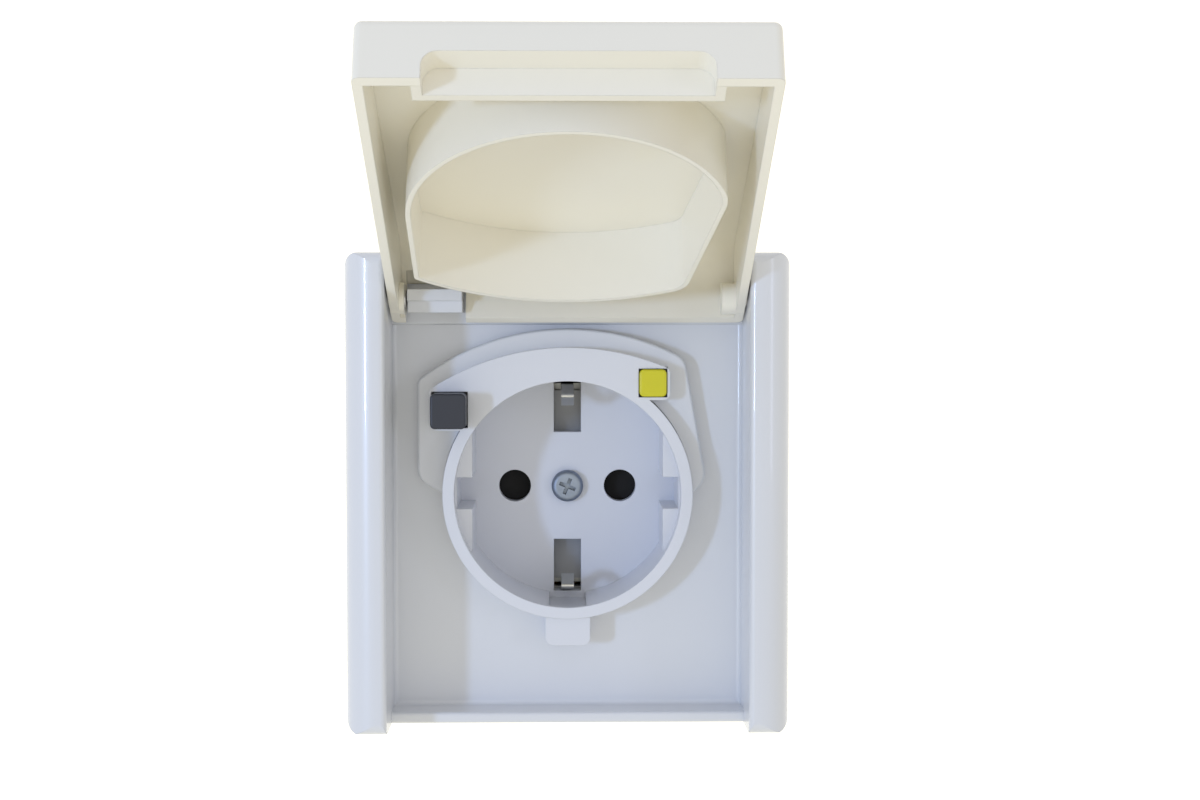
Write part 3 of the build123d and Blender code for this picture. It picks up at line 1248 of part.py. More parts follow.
def test_strip():
    """Thin spring strip on the base plate that the test stem presses."""
    x, z = TEST_STEM_AT
    half, top = TEST_STRIP_HALF_WIDTH, z + TEST_STRIP_HALF_WIDTH
    back = BASE_PLATE_BACK + TEST_STRIP_THICKNESS
    return block(x - half, x + half, BASE_PLATE_BACK, back, top - TEST_STRIP_LENGTH, top)


def cover_screw():
    """Pan-head screw with a cross recess that holds the cover and frame."""
    head_front = FLOOR_Y - COVER_HEAD_HEIGHT
    head = rod_y(COVER_HEAD_RADIUS, head_front, FLOOR_Y)
    head = fillet(head.faces().sort_by(Axis.Y)[0].edges(), COVER_HEAD_ROUND)
    body = head + rod_y(COVER_SCREW_RADIUS, FLOOR_Y, FLOOR_Y + COVER_SCREW_LENGTH)
    for turn in (CROSS_TURN, CROSS_TURN + 90):
        arm = Box(CROSS_LENGTH, 2 * CROSS_DEPTH, CROSS_WIDTH)
        body = body - Pos(0, head_front, 0) * Rot(0, turn, 0) * arm
    return body


def cover_nut():
    """Square nut held in the base."""
    half = COVER_NUT_SIDE / 2
    y0, y1 = COVER_NUT_Y, COVER_NUT_Y + COVER_NUT_THICKNESS
    return block(-half, half, y0, y1, -half, half) - rod_y(COVER_SCREW_RADIUS, y0 - PAST, y1 + PAST)


def small_screw(x, z, seat_y):
    """Self-tapping screw with its head on a face at seat_y."""
    head = rod_y(SMALL_HEAD_RADIUS, seat_y - SMALL_HEAD_HEIGHT, seat_y, x, z)
    return head + rod_y(SMALL_SCREW_RADIUS, seat_y, seat_y + SMALL_SCREW_LENGTH, x, z)


def base_screws():
    """Four screws that hold the base plate to the housing's ribs."""
    return [
        small_screw(across * BASE_SCREW_AT[0], side * BASE_SCREW_AT[1], BASE_FRONT)
        for across in (-1, 1)
        for side in (-1, 1)
    ]


def strap_screws():
    """Two screws that hold the strap to the housing."""
    return [small_screw(0, side * STRAP_SCREW_Z, -STRAP_THICKNESS) for side in (-1, 1)]


def swung(piece):
    """A piece of the shut lid, carried to the open stop."""
    return piece.rotate(HINGE_AXIS, -LID_OPEN)


def build():
    """Every node by name."""
    nodes = {
        "cover_frame": cover_frame(),
        "wall_gasket": wall_gasket(),
        "mounting_strap": mounting_strap(),
        "strap_screws": strap_screws(),
        "rear_housing": rear_housing(),
        "socket_cover": socket_cover(),
        "cover_screw": cover_screw(),
        "cover_nut": cover_nut(),
        "contact_base": contact_base(),
        "base_screws": base_screws(),
        "earth_bridge": earth_bridge(),
        "line_contact": pin_contact(-1),
        "neutral_contact": pin_contact(1),
        "shutter": shutter(),
        "shutter_springs": shutter_springs(),
        "line_output_bar": output_bar(LINE_TIPS[0], -PIN_SPACING / 2),
        "neutral_output_bar": output_bar(NEUTRAL_TIPS[0], PIN_SPACING / 2),
        "line_input_bar": input_bar(LINE_TIPS[1], -PRIMARY_X, -TERMINAL_X),
        "neutral_input_bar": input_bar(NEUTRAL_TIPS[1], PRIMARY_X, TERMINAL_X),
        "fixed_contact_rivets": rivets(FIXED_RIVET_FRONT, BAR_Y - BAR_SIDE / 2),
        "moving_contact_rivets": rivets(BRIDGE_BACK, MOVING_RIVET_BACK),
        "line_bridge": moving_bridge(LINE_TIPS),
        "neutral_bridge": moving_bridge(NEUTRAL_TIPS),
        "contact_carrier": contact_carrier(),
        "reset_button": reset_button(),
        "reset_spring": reset_spring(),
        "test_button": test_button(),
        "test_spring": test_spring(),
        "test_strip": test_strip(),
        "trip_latch": trip_latch(),
        "latch_pin": latch_pin(),
        "trip_plunger": trip_plunger(),
        "relay_bobbin": relay_bobbin(),
        "relay_coil": relay_coil(),
        "relay_yoke": relay_yoke(),
        "transformer_core": transformer_core(),
        "transformer_winding": transformer_winding(),
        "line_terminal": terminal(-TERMINAL_X),
        "earth_terminal": terminal(0),
        "neutral_terminal": terminal(TERMINAL_X),
        "terminal_screws": terminal_screws(),
        "circuit_board": circuit_board(),
        "board_chip": board_chip(),
        "board_capacitors": board_capacitors(),
        "board_varistor": board_varistor(),
        "board_resistors": board_resistors(),
        "board_thyristor": board_thyristor(),
        "lid": swung(lid()),
        "hinge_pins": [swung(pin) for pin in hinge_pins()],
    }
    return nodes


def solids_of(shape):
    """All solids of a node, as a flat list."""
    pieces = shape if isinstance(shape, list) else [shape]
    return [solid for piece in pieces for solid in piece.solids()]


def main():
    os.makedirs("parts", exist_ok=True)
    for name, shape in build().items():
        solids = solids_of(shape)
        whole = solids[0] if len(solids) == 1 else Compound(children=solids)
        export_step(whole, f"parts/{name}.step")


if __name__ == "__main__":
    main()
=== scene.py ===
"""Looks of a flush residual current device socket with its splash lid open.

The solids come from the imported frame. This script gives them their finishes, winds the springs and the
coils, and sets the camera, the lamps and the white surroundings. Lengths are in metres in the frame's
own axes: +X right, +Z up, and the front of the socket looks towards -Y.
"""

import json
import math

import bpy
import numpy as np
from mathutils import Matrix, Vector


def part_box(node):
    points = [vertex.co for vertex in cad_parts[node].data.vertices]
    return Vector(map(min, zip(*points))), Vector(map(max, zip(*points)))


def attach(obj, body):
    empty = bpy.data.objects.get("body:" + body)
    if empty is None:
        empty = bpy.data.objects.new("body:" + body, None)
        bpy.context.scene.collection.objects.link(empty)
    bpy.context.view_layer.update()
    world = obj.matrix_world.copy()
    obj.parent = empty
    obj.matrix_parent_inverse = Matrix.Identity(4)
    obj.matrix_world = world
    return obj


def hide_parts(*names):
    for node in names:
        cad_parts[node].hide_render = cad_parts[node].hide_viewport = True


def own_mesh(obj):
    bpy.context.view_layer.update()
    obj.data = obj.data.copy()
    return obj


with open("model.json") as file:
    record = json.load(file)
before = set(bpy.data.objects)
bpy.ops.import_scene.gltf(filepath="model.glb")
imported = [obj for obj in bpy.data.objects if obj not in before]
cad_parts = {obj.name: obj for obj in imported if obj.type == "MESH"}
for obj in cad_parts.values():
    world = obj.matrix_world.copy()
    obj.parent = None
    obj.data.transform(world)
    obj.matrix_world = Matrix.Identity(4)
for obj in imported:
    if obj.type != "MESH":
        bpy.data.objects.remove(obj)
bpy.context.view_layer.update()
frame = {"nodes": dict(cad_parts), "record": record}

bl_info = {
    "name": "Residual current device socket",
    "version": (1, 0, 0),
    "blender": (4, 5, 0),
    "location": "View3D > Sidebar > Socket",
    "description": "Finishes, lamps and camera for a flush safety socket with a splash lid",
    "category": "Add Mesh",
}

BODY = "housing_body"
SLOT_COLOURS = {item["slot"]: item["base_color"] for item in frame["record"]["materials"]}
MM = 0.001
MICRON = 0.000001

# Places of the three axes in a point, and how a grain is drawn out along each
X, Y, Z = 0, 1, 2
EVEN = (1.0, 1.0, 1.0)
ALONG_X, ALONG_Y, ALONG_Z = (0.04, 1.0, 1.0), (1.0, 0.04, 1.0), (1.0, 1.0, 0.04)

# Points along one turn of a wire, and the sides of its section
HELIX_STEPS = 28
RING_STEPS = 32
SPRING_SIDES = 10
COPPER_SIDES = 6


def rgba(colour):
    """A colour with full cover."""
    return (colour[0], colour[1], colour[2], 1.0)


def shader_of(material):
    """The shader that every finish is built on."""
    return material.node_tree.nodes["Principled BSDF"]


def new_material(name, colour, roughness, metallic=0.0, specular=0.5, coat=0.0):
    """Principled material with its uniform values on the shader's own sockets."""
    material = bpy.data.materials.new(name)
    material.use_nodes = True
    shader = shader_of(material)
    shader.inputs["Base Color"].default_value = rgba(colour)
    shader.inputs["Roughness"].default_value = roughness
    shader.inputs["Metallic"].default_value = metallic
    shader.inputs["Specular IOR Level"].default_value = specular
    shader.inputs["Coat Weight"].default_value = coat
    shader.inputs["Coat Roughness"].default_value = 0.05
    return material


def noise(material, scale, stretch):
    """Noise on Object coordinates; a small stretch value draws it out along that axis."""
    tree = material.node_tree
    coords = tree.nodes.new("ShaderNodeTexCoord")
    mapping = tree.nodes.new("ShaderNodeMapping")
    mapping.inputs["Scale"].default_value = stretch
    texture = tree.nodes.new("ShaderNodeTexNoise")
    texture.inputs["Scale"].default_value = scale
    texture.inputs["Detail"].default_value = 3.0
    tree.links.new(coords.outputs["Object"], mapping.inputs["Vector"])
    tree.links.new(mapping.outputs["Vector"], texture.inputs["Vector"])
    return texture.outputs["Fac"]


def round_edges(material, radius):
    """Softens the sharp edges in the shading, as a moulding tool or a tumbling drum leaves them."""
    tree = material.node_tree
    bevel = tree.nodes.new("ShaderNodeBevel")
    bevel.samples = 4
    bevel.inputs["Radius"].default_value = radius
    tree.links.new(bevel.outputs["Normal"], shader_of(material).inputs["Normal"])


def relief(material, scale, depth, stretch=EVEN):
    """Bump of a depth in metres, laid over any relief the finish has already."""
    tree = material.node_tree
    normal = shader_of(material).inputs["Normal"]
    bump = tree.nodes.new("ShaderNodeBump")
    bump.inputs["Distance"].default_value = depth
    tree.links.new(noise(material, scale, stretch), bump.inputs["Height"])
    for link in list(normal.links):
        tree.links.new(link.from_socket, bump.inputs["Normal"])
    tree.links.new(bump.outputs["Normal"], normal)


def patches(material, scale, share, spread, stretch=EVEN):
    """Soft patches where the colour falls to a share of itself and the roughness wanders by a spread."""
    tree = material.node_tree
    shader = shader_of(material)
    colour = shader.inputs["Base Color"].default_value
    roughness = shader.inputs["Roughness"].default_value
    field = noise(material, scale, stretch)
    mix = tree.nodes.new("ShaderNodeMix")
    mix.data_type = "RGBA"
    mix.inputs["A"].default_value = rgba([channel * share for channel in colour])
    mix.inputs["B"].default_value = colour
    wander = tree.nodes.new("ShaderNodeMapRange")
    wander.inputs["To Min"].default_value = roughness + spread
    wander.inputs["To Max"].default_value = roughness - spread
    tree.links.new(field, mix.inputs["Factor"])
    tree.links.new(mix.outputs["Result"], shader.inputs["Base Color"])
    tree.links.new(field, wander.inputs["Value"])
    tree.links.new(wander.outputs["Result"], shader.inputs["Roughness"])


def gloss_plastic(name, colour, roughness=0.3, coat=0.2):
    """Polished moulding: slow waves of the tool's polish, a faint haze and softened edges."""
    material = new_material(name, colour, roughness, coat=coat)
    round_edges(material, radius=0.25 * MM)
    relief(material, scale=150.0, depth=4 * MICRON)
    relief(material, scale=5200.0, depth=MICRON)
    patches(material, scale=45.0, share=0.975, spread=0.02)
    return material


def matt_plastic(name, colour, roughness, specular=0.4):
    """Eroded moulding tool: a fine even grain."""
    material = new_material(name, colour, roughness, specular=specular)
    round_edges(material, radius=0.2 * MM)
    relief(material, scale=3600.0, depth=12 * MICRON)
    patches(material, scale=180.0, share=0.85, spread=0.06)
    return material


def foam(name, colour):
    """Cut foam: open cells that show as pits, with painted shade that darkens the pits."""
    material = new_material(name, colour, roughness=0.9)
    relief(material, scale=1800.0, depth=150 * MICRON)
    # Painted shade: the same noise as the bump above, so the colour falls to half where the pits are
    # deepest
    patches(material, scale=1800.0, share=0.5, spread=0.05)
    return material


def metal(name, colour, roughness, stretch=EVEN):
    """Metal with rolling or turning marks along the stretched axis and light tarnish."""
    material = new_material(name, colour, roughness, metallic=1.0)
    round_edges(material, radius=0.15 * MM)
    relief(material, scale=2400.0, depth=6 * MICRON, stretch=stretch)
    patches(material, scale=420.0, share=0.78, spread=0.09, stretch=stretch)
    return material


def paint(material, *names):
    """Gives CAD nodes one material."""
    for name in names:
        mesh = frame["nodes"][name].data
        mesh.materials.clear()
        mesh.materials.append(material)


def tube(name, path, outward, radius, sides):
    """Round wire along a path.

    With T the unit tangent and O the outward direction at a point P of the path, B = T x O and
    N = B x T, the wire's skin is P + radius (N cos a + B sin a) for a from 0 to a full turn.
    """
    tangent = np.gradient(path, axis=0)
    tangent /= np.linalg.norm(tangent, axis=1, keepdims=True)
    across = np.cross(tangent, outward)
    across /= np.linalg.norm(across, axis=1, keepdims=True)
    up = np.cross(across, tangent)
    angle = np.linspace(0.0, 2 * np.pi, sides, endpoint=False)[None, :, None]
    skin = path[:, None] + radius * (np.cos(angle) * up[:, None] + np.sin(angle) * across[:, None])
    count = len(path)
    ring = np.arange(sides)
    after = (ring + 1) % sides
    start = (np.arange(count - 1) * sides)[:, None]
    faces = np.stack([start + ring, start + after, start + sides + after, start + sides + ring], axis=-1)
    caps = [list(ring[::-1]), list((count - 1) * sides + ring)]
    mesh = bpy.data.meshes.new(name)
    mesh.from_pydata(skin.reshape(-1, 3).tolist(), [], faces.reshape(-1, 4).tolist() + caps)
    mesh.shade_smooth()
    piece = bpy.data.objects.new(name, mesh)
    bpy.context.scene.collection.objects.link(piece)
    return piece


class SocketFinishes(bpy.types.PropertyGroup):
    """Colours that a user would change."""

    frame_colour: bpy.props.FloatVectorProperty(
        name="Frame", description="Colour of the cover frame", subtype="COLOR", size=3,
        default=SLOT_COLOURS["frame_plastic"], min=0, max=1,
    )
    insert_colour: bpy.props.FloatVectorProperty(
        name="Insert", description="Colour of the plug recess and its collar", subtype="COLOR", size=3,
        default=(0.725, 0.74, 0.79), min=0, max=1,
    )
    lid_colour: bpy.props.FloatVectorProperty(
        name="Lid", description="Colour of the splash lid", subtype="COLOR", size=3,
        default=(0.93, 0.895, 0.79), min=0, max=1,
    )
    reset_colour: bpy.props.FloatVectorProperty(
        name="Reset button", description="Colour of the reset button", subtype="COLOR", size=3,
        default=(0.012, 0.016, 0.03), min=0, max=1,
    )
    test_colour: bpy.props.FloatVectorProperty(
        name="Test button", description="Colour of the test button", subtype="COLOR", size=3,
        default=(0.66, 0.61, 0.015), min=0, max=1,
    )
    base_colour: bpy.props.FloatVectorProperty(
        name="Base", description="Colour of the contact base behind the earth slots", subtype="COLOR",
        size=3, default=(0.35, 0.35, 0.35), min=0, max=1,
    )
    shutter_colour: bpy.props.FloatVectorProperty(
        name="Shutter", description="Colour of the shutter behind the pin holes", subtype="COLOR",
        size=3, default=(0.012, 0.012, 0.013), min=0, max=1,
    )
    screw_colour: bpy.props.FloatVectorProperty(
        name="Screw", description="Colour of the screw in the recess", subtype="COLOR", size=3,
        default=(0.27, 0.31, 0.38), min=0, max=1,
    )
    turned_colour: bpy.props.FloatVectorProperty(
        name="Turned steel", description="Colour of the plunger and the hinge pins", subtype="COLOR",
        size=3, default=(0.58, 0.58, 0.58), min=0, max=1,
    )


class SocketWires(bpy.types.PropertyGroup):
    """Sizes of the wound wires."""

    reset_wire: bpy.props.FloatProperty(
        name="Reset spring wire", description="Thickness of the wire of the reset button's spring",
        default=0.4 * MM, min=0.1 * MM, unit="LENGTH",
    )
    reset_turns: bpy.props.IntProperty(
        name="Reset spring turns", description="Turns of the reset button's spring, closed ends included",
        default=8, min=3,
    )
    fine_wire: bpy.props.FloatProperty(
        name="Fine spring wire", description="Thickness of the wire of the test and shutter springs",
        default=0.3 * MM, min=0.1 * MM, unit="LENGTH",
    )
    fine_turns: bpy.props.IntProperty(
        name="Fine spring turns", description="Turns of the test and shutter springs, closed ends included",
        default=9, min=3,
    )
    relay_wire: bpy.props.FloatProperty(
        name="Relay wire", description="Thickness of the wire of the trip relay's coil",
        default=0.35 * MM, min=0.1 * MM, unit="LENGTH",
    )
    transformer_wire: bpy.props.FloatProperty(
        name="Transformer wire", description="Thickness of the wire round the transformer's core",
        default=0.4 * MM, min=0.1 * MM, unit="LENGTH",
    )
    transformer_turns: bpy.props.IntProperty(
        name="Transformer turns", description="Turns of the wire round the transformer's core",
        default=22, min=1,
    )
    transformer_sweep: bpy.props.FloatProperty(
        name="Transformer sweep", description="How much of the ring core the wire covers",
        default=math.radians(156.0), min=0, max=math.radians(340.0), subtype="ANGLE",
    )
    core_bore: bpy.props.FloatProperty(
        name="Core bore", description="Radius of the hole in the transformer's core",
        default=3 * MM, min=MM, unit="LENGTH",
    )


class SocketStage(bpy.types.PropertyGroup):
    """Camera, lamps and surroundings."""

    lens: bpy.props.FloatProperty(
        name="Lens", description="Focal length on a 36 mm wide sensor", default=57.9, min=10,
    )
    camera_place: bpy.props.FloatVectorProperty(
        name="Camera", description="Place of the camera", default=(-0.00115, -0.344, 0.0326),
        subtype="TRANSLATION", unit="LENGTH", size=3,
    )
    pitch: bpy.props.FloatProperty(
        name="Pitch", description="How far the camera looks down", default=math.radians(2.8),
        subtype="ANGLE",
    )
    yaw: bpy.props.FloatProperty(
        name="Yaw", description="How far the camera looks to the right", default=math.radians(1.16),
        subtype="ANGLE",
    )
    left_power: bpy.props.FloatProperty(
        name="Left lamp", description="Power of the cool lamp at the left", default=1.9, min=0,
        unit="POWER",
    )
    right_power: bpy.props.FloatProperty(
        name="Right lamp", description="Power of the lamp at the right", default=0.2, min=0,
        unit="POWER",
    )
    low_power: bpy.props.FloatProperty(
        name="Low lamp", description="Power of the warm lamp below", default=0.1, min=0,
        unit="POWER",
    )
    sky_below: bpy.props.FloatVectorProperty(
        name="Light from below", description="Colour of the soft light from straight below",
        subtype="COLOR", size=3, default=(0.81, 0.79, 0.69), min=0, max=1,
    )
    sky_above: bpy.props.FloatVectorProperty(
        name="Light from above", description="Colour of the soft light from straight above",
        subtype="COLOR", size=3, default=(0.57, 0.59, 0.67), min=0, max=1,
    )
    backdrop: bpy.props.FloatVectorProperty(
        name="Backdrop", description="White that the camera and the gloss of the pieces see",
        subtype="COLOR", size=3, default=(1.3, 1.27, 1.15), min=0, soft_max=2,
    )


class SOCKET_OT_mouldings(bpy.types.Operator):
    """Finishes of the plastic mouldings and of the foam strip"""

    bl_idname = "socket.mouldings"
    bl_label = "Mouldings"

    def execute(self, context):
        finishes = context.scene.socket_finishes
        frame_gloss = gloss_plastic("frame gloss", finishes.frame_colour, roughness=0.31, coat=0.5)
        insert_gloss = gloss_plastic("insert gloss", finishes.insert_colour, roughness=0.35, coat=0.0)
        dark_gloss = gloss_plastic("dark button", finishes.reset_colour, roughness=0.4, coat=0.0)
        yellow_gloss = gloss_plastic("yellow button", finishes.test_colour, roughness=0.35, coat=0.0)
        dull = matt_plastic("shutter black", finishes.shutter_colour, roughness=0.65, specular=0.15)
        black = matt_plastic("black plastic", SLOT_COLOURS["black_plastic"], roughness=0.45)
        natural = matt_plastic("natural plastic", SLOT_COLOURS["natural_plastic"], roughness=0.45)
        paint(frame_gloss, "cover_frame")
        paint(insert_gloss, "socket_cover")
        paint(gloss_plastic("lid gloss", finishes.lid_colour), "lid")
        paint(dark_gloss, "reset_button")
        paint(yellow_gloss, "test_button")
        paint(matt_plastic("base plastic", finishes.base_colour, roughness=0.6), "contact_base")
        paint(dull, "shutter")
        paint(black, "contact_carrier", "board_chip", "board_thyristor")
        paint(natural, "relay_bobbin")
        paint(matt_plastic("housing grey", SLOT_COLOURS["grey_plastic"], roughness=0.55), "rear_housing")
        paint(foam("foam strip", SLOT_COLOURS["foam"]), "wall_gasket")
        return {"FINISHED"}


class SOCKET_OT_metals(bpy.types.Operator):
    """Finishes of the metal pieces"""

    bl_idname = "socket.metals"
    bl_label = "Metals"

    def execute(self, context):
        finishes = context.scene.socket_finishes
        bright = metal("bright steel", SLOT_COLOURS["screw_steel"], roughness=0.25, stretch=ALONG_Y)
        rolled = metal("rolled steel", SLOT_COLOURS["plated_steel"], roughness=0.35, stretch=ALONG_X)
        turned = metal("turned steel", finishes.turned_colour, roughness=0.3, stretch=ALONG_X)
        brass = metal("brass", SLOT_COLOURS["brass"], roughness=0.3, stretch=ALONG_X)
        bronze = metal("spring bronze", SLOT_COLOURS["spring_bronze"], roughness=0.3, stretch=ALONG_Z)
        nickel = metal("nickel plate", SLOT_COLOURS["spring_nickel"], roughness=0.4, stretch=ALONG_Y)
        silver = metal("silver", SLOT_COLOURS["silver"], roughness=0.3)
        paint(bright, "base_screws", "strap_screws", "terminal_screws")
        paint(metal("dull steel", finishes.screw_colour, roughness=0.5), "cover_screw")
        paint(rolled, "mounting_strap", "cover_nut", "relay_yoke", "trip_latch")
        paint(turned, "trip_plunger", "hinge_pins")
        paint(brass, "line_output_bar", "neutral_output_bar", "line_input_bar", "neutral_input_bar")
        paint(brass, "line_bridge", "neutral_bridge")
        paint(brass, "line_terminal", "earth_terminal", "neutral_terminal")
        paint(bronze, "line_contact", "neutral_contact", "test_strip")
        paint(nickel, "earth_bridge")
        paint(silver, "fixed_contact_rivets", "moving_contact_rivets")
        return {"FINISHED"}


class SOCKET_OT_springs(bpy.types.Operator):
    """Return springs of the buttons and of the shutter, wound in place of their nodes"""

    bl_idname = "socket.springs"
    bl_label = "Springs"

    def execute(self, context):
        wires = context.scene.socket_wires
        stout = (wires.reset_wire, wires.reset_turns)
        fine = (wires.fine_wire, wires.fine_turns)
        reset_box, test_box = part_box("reset_spring"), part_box("test_spring")
        springs = [
            self.spring("reset_spring_wire", "reset_spring", "reset_push", reset_box, Y, *stout),
            self.spring("test_spring_wire", "test_spring", "test_push", test_box, Y, *fine),
        ]
        low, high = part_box("shutter_springs")
        width = high[Y] - low[Y]
        for side, left in (("left", low[X]), ("right", high[X] - width)):
            name = f"shutter_spring_{side}"
            box = (left, low[Y], low[Z]), (left + width, high[Y], high[Z])
            springs.append(self.spring(name, "shutter_springs", "shutter_slide", box, Z, *fine))
        steel = metal("drawn steel", SLOT_COLOURS["spring_steel"], roughness=0.3)
        paint(steel, "latch_pin")
        for spring in springs:
            spring.data.materials.append(steel)
        return {"FINISHED"}

    def spring(self, name, node, joint, box, axis, wire, turns):
        """Spring in place of a node, wound over its box and fixed to the body; the joint argument is not
        used.
        """
        low, high = np.array(box[0]), np.array(box[1])
        piece = self.coil(name, low, high, axis, wire, turns)
        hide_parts(node)
        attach(piece, BODY)
        anchor = (low + high) / 2
        anchor[axis] = high[axis]
        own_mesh(piece)
        return piece

    def coil(self, name, low, high, axis, wire, turns):
        """Compression spring between two corners, with its end turns closed.

        Height h and angle a = 2 pi t, with t from 0 to the number of turns: h climbs one wire in the
        first and in the last turn, and steadily in between; the other two coordinates are R cos a and
        R sin a about the box's middle.
        """
        first, second = (axis + 1) % 3, (axis + 2) % 3
        radius = (high[first] - low[first]) / 2 - wire / 2
        turn = np.linspace(0.0, turns, turns * HELIX_STEPS + 1)
        angle = 2 * np.pi * turn
        outward = np.zeros((len(turn), 3))
        outward[:, first], outward[:, second] = np.cos(angle), np.sin(angle)
        path = (low + high) / 2 + radius * outward
        bottom, top = low[axis] + wire / 2, high[axis] - wire / 2
        path[:, axis] = np.interp(turn, (0, 1, turns - 1, turns), (bottom, bottom + wire, top - wire, top))
        return tube(name, path, outward, wire / 2, SPRING_SIDES)


class SOCKET_OT_windings(bpy.types.Operator):
    """Wound wire of the trip relay and of the current transformer"""

    bl_idname = "socket.windings"
    bl_label = "Windings"

    def execute(self, context):
        wires = context.scene.socket_wires
        copper = metal("copper wire", SLOT_COLOURS["copper_wire"], roughness=0.35)
        coil = self.relay_coil(wires.relay_wire)
        winding = self.toroid(wires)
        for piece, node in ((coil, "relay_coil"), (winding, "transformer_winding")):
            piece.data.materials.append(copper)
            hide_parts(node)
            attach(piece, BODY)
        return {"FINISHED"}

    def relay_coil(self, wire):
        """Helix round the X axis of the relay.

        With angle a, y and z are R cos a and R sin a about the middle, and x grows by one wire's
        thickness in each turn.
        """
        low, high = np.array(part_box("relay_coil"))
        outer = (high[Y] - low[Y]) / 2 - wire / 2
        turns = int((high[X] - low[X] - wire) / wire)
        along = np.linspace(0.0, 1.0, turns * HELIX_STEPS + 1)
        angle = 2 * np.pi * turns * along
        outward = np.stack([np.zeros_like(angle), np.cos(angle), np.sin(angle)], axis=1)
        path = (low + high) / 2 + outer * outward
        path[:, X] = low[X] + wire / 2 + (high[X] - low[X] - wire) * along
        return tube("relay_coil_wire", path, outward, wire / 2, COPPER_SIDES)

    def toroid(self, wires):
        """Wire wound over a part of the ring core.

        Turn angle a and ring angle f: the section is the rounded square (c, s) = (sgn cos a |cos a|^p,
        sgn sin a |sin a|^p) with a small power p, placed at radius R + A c and height H + B s, then
        turned by f.
        """
        low, high = np.array(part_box("transformer_core"))
        wire, bore, turns = wires.transformer_wire, wires.core_bore, wires.transformer_turns
        clear = 0.55 * wire
        power = 0.3
        outer = (high[X] - low[X]) / 2
        reach = (outer - bore) / 2 + clear
        rise = (high[Z] - low[Z]) / 2 + clear
        along = np.linspace(0.0, 1.0, turns * RING_STEPS + 1)
        turn = 2 * np.pi * turns * along
        ring = wires.transformer_sweep * (along - 0.5)
        c = np.sign(np.cos(turn)) * np.abs(np.cos(turn)) ** power
        s = np.sign(np.sin(turn)) * np.abs(np.sin(turn)) ** power
        radius = (outer + bore) / 2 + reach * c
        path = (low + high) / 2 + np.stack([radius * np.cos(ring), radius * np.sin(ring), rise * s], axis=1)
        outward = np.stack([np.cos(turn) * np.cos(ring), np.cos(turn) * np.sin(ring), np.sin(turn)], axis=1)
        return tube("transformer_wire", path, outward, wire / 2, COPPER_SIDES)


class SOCKET_OT_electronics(bpy.types.Operator):
    """Finishes of the board and its pieces"""

    bl_idname = "socket.electronics"
    bl_label = "Electronics"

    def execute(self, context):
        board = new_material("solder mask", SLOT_COLOURS["board_green"], roughness=0.35)
        self.tracks(board)
        relief(board, scale=3000.0, depth=8 * MICRON)
        resistor = new_material("resistor tan", SLOT_COLOURS["resistor_tan"], roughness=0.4)
        self.bands(resistor)
        relief(resistor, scale=1500.0, depth=20 * MICRON)
        paint(board, "circuit_board")
        paint(resistor, "board_resistors")
        paint(gloss_plastic("capacitor blue", SLOT_COLOURS["capacitor_blue"]), "board_capacitors")
        paint(gloss_plastic("varistor blue", SLOT_COLOURS["varistor_blue"]), "board_varistor")
        paint(matt_plastic("ferrite", SLOT_COLOURS["ferrite"], roughness=0.6), "transformer_core")
        return {"FINISHED"}

    def tracks(self, material):
        """Copper tracks under the mask: the thin joints of a brick pattern across the board."""
        track_green = (0.07, 0.33, 0.12)
        tree = material.node_tree
        shader = shader_of(material)
        coords = tree.nodes.new("ShaderNodeTexCoord")
        split = tree.nodes.new("ShaderNodeSeparateXYZ")
        join = tree.nodes.new("ShaderNodeCombineXYZ")
        bricks = tree.nodes.new("ShaderNodeTexBrick")
        bricks.inputs["Scale"].default_value = 260.0
        bricks.inputs["Mortar Size"].default_value = 0.06
        for socket in ("Color1", "Color2"):
            bricks.inputs[socket].default_value = shader.inputs["Base Color"].default_value
        bricks.inputs["Mortar"].default_value = rgba(track_green)
        tree.links.new(coords.outputs["Object"], split.inputs["Vector"])
        tree.links.new(split.outputs["Y"], join.inputs["X"])
        tree.links.new(split.outputs["Z"], join.inputs["Y"])
        tree.links.new(join.outputs["Vector"], bricks.inputs["Vector"])
        tree.links.new(bricks.outputs["Color"], shader.inputs["Base Color"])

    def bands(self, material):
        """Dark rings along Z on the resistors."""
        dark_ring = (0.15, 0.05, 0.03)
        tree = material.node_tree
        shader = shader_of(material)
        coords = tree.nodes.new("ShaderNodeTexCoord")
        wave = tree.nodes.new("ShaderNodeTexWave")
        wave.bands_direction = "Z"
        wave.inputs["Scale"].default_value = 320.0
        ramp = tree.nodes.new("ShaderNodeValToRGB")
        ramp.color_ramp.interpolation = "CONSTANT"
        ground, ring = ramp.color_ramp.elements
        ground.color = shader.inputs["Base Color"].default_value
        ring.position = 0.75
        ring.color = rgba(dark_ring)
        tree.links.new(coords.outputs["Object"], wave.inputs["Vector"])
        tree.links.new(wave.outputs["Fac"], ramp.inputs["Fac"])
        tree.links.new(ramp.outputs["Color"], shader.inputs["Base Color"])


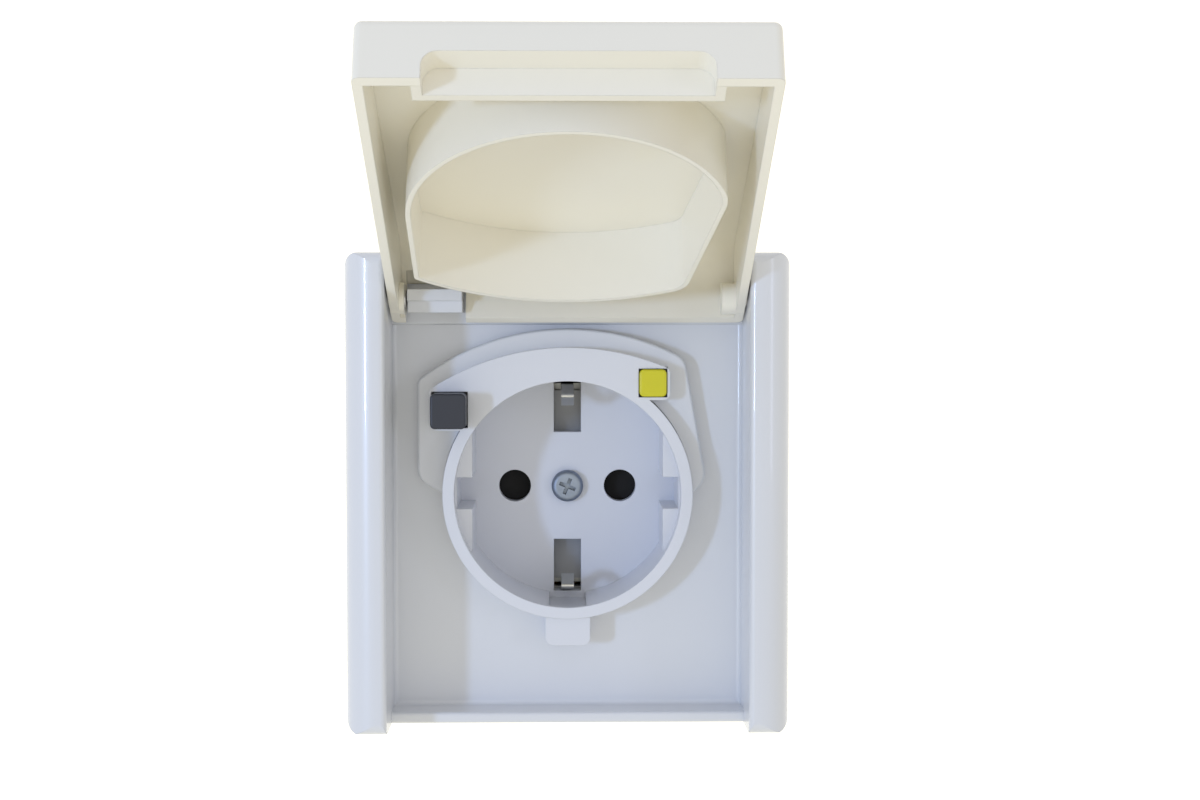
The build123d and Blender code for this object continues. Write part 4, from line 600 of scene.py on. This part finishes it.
class SOCKET_OT_stage(bpy.types.Operator):
    """Camera, lamps and white surroundings"""

    bl_idname = "socket.stage"
    bl_label = "Stage"

    def execute(self, context):
        scene = context.scene
        settings = scene.socket_stage
        centre, above = (0.0, 0.0, 0.0), (0.0, 0.0, 0.08)
        scene.camera = self.add_camera(settings)
        scene.world = self.white_room(settings)
        self.area_lamp(
            "left lamp", place=(-0.52, -0.63, 0.02), aim=centre, size=(0.05, 0.1),
            power=settings.left_power, colour=(0.45, 0.62, 1.0),
        )
        self.area_lamp(
            "right lamp", place=(0.5, -0.45, 0.05), aim=centre, size=(0.1, 0.2),
            power=settings.right_power, colour=(0.7, 0.75, 1.0),
        )
        self.area_lamp(
            "low lamp", place=(-0.05, -0.45, -0.5), aim=above, size=(0.5, 0.3),
            power=settings.low_power, colour=(1.0, 0.88, 0.25),
        )
        scene.view_settings.view_transform = "Standard"
        return {"FINISHED"}

    def add_camera(self, settings):
        """Camera at its place, looking along +Y turned by yaw and pitch."""
        data = bpy.data.cameras.new("camera")
        data.sensor_width = 36.0
        data.lens = settings.lens
        data.clip_start = 0.01
        camera = bpy.data.objects.new("camera", data)
        bpy.context.scene.collection.objects.link(camera)
        camera.location = settings.camera_place
        yaw, pitch = settings.yaw, settings.pitch
        aim = Vector((math.sin(yaw) * math.cos(pitch), math.cos(yaw) * math.cos(pitch), -math.sin(pitch)))
        camera.rotation_euler = aim.to_track_quat("-Z", "Y").to_euler()
        return camera

    def area_lamp(self, name, place, aim, size, power, colour):
        """Soft lamp that looks from its place to its aim."""
        light = bpy.data.lights.new(name, "AREA")
        light.shape = "RECTANGLE"
        light.size, light.size_y = size
        light.energy = power
        light.color = colour
        lamp = bpy.data.objects.new(name, light)
        bpy.context.scene.collection.objects.link(lamp)
        lamp.location = place
        lamp.rotation_euler = (Vector(aim) - Vector(place)).to_track_quat("-Z", "Y").to_euler()

    def white_room(self, settings):
        """Soft light that turns from warm below to cool above, behind a white backdrop."""
        world = bpy.data.worlds.new("white room")
        world.use_nodes = True
        tree = world.node_tree
        coords = tree.nodes.new("ShaderNodeTexCoord")
        split = tree.nodes.new("ShaderNodeSeparateXYZ")
        height = tree.nodes.new("ShaderNodeMapRange")
        height.inputs["From Min"].default_value = -1.0
        sky = tree.nodes.new("ShaderNodeMix")
        sky.data_type = "RGBA"
        sky.inputs["A"].default_value = rgba(settings.sky_below)
        sky.inputs["B"].default_value = rgba(settings.sky_above)
        paths = tree.nodes.new("ShaderNodeLightPath")
        seen = tree.nodes.new("ShaderNodeMix")
        seen.data_type = "RGBA"
        seen.inputs["B"].default_value = rgba(settings.backdrop)
        direct = paths.outputs["Is Camera Ray"]
        for ray in ("Is Glossy Ray", "Is Transmission Ray"):
            either = tree.nodes.new("ShaderNodeMath")
            either.operation = "MAXIMUM"
            tree.links.new(direct, either.inputs[0])
            tree.links.new(paths.outputs[ray], either.inputs[1])
            direct = either.outputs[0]
        tree.links.new(coords.outputs["Generated"], split.inputs["Vector"])
        tree.links.new(split.outputs["Z"], height.inputs["Value"])
        tree.links.new(height.outputs["Result"], sky.inputs["Factor"])
        tree.links.new(direct, seen.inputs["Factor"])
        tree.links.new(sky.outputs["Result"], seen.inputs["A"])
        tree.links.new(seen.outputs["Result"], tree.nodes["Background"].inputs["Color"])
        return world


class SOCKET_PT_panel(bpy.types.Panel):
    """Lists the settings and the buttons of the steps"""

    bl_label = "Socket"
    bl_idname = "SOCKET_PT_panel"
    bl_space_type = "VIEW_3D"
    bl_region_type = "UI"
    bl_category = "Socket"

    def draw(self, context):
        layout = self.layout
        scene = context.scene
        for group in (scene.socket_finishes, scene.socket_wires, scene.socket_stage):
            for key in group.__annotations__:
                layout.prop(group, key)
        for operator in OPERATORS:
            layout.operator(operator.bl_idname)


GROUPS = (SocketFinishes, SocketWires, SocketStage)
OPERATORS = (
    SOCKET_OT_mouldings,
    SOCKET_OT_metals,
    SOCKET_OT_springs,
    SOCKET_OT_windings,
    SOCKET_OT_electronics,
    SOCKET_OT_stage,
)
CLASSES = GROUPS + OPERATORS + (SOCKET_PT_panel,)


def register():
    for item in CLASSES:
        bpy.utils.register_class(item)
    bpy.types.Scene.socket_finishes = bpy.props.PointerProperty(type=SocketFinishes)
    bpy.types.Scene.socket_wires = bpy.props.PointerProperty(type=SocketWires)
    bpy.types.Scene.socket_stage = bpy.props.PointerProperty(type=SocketStage)


def unregister():
    del bpy.types.Scene.socket_stage
    del bpy.types.Scene.socket_wires
    del bpy.types.Scene.socket_finishes
    for item in reversed(CLASSES):
        bpy.utils.unregister_class(item)


def main():
    register()
    bpy.ops.socket.mouldings()
    bpy.ops.socket.metals()
    bpy.ops.socket.springs()
    bpy.ops.socket.windings()
    bpy.ops.socket.electronics()
    bpy.ops.socket.stage()


if __name__ == "__main__":
    main()
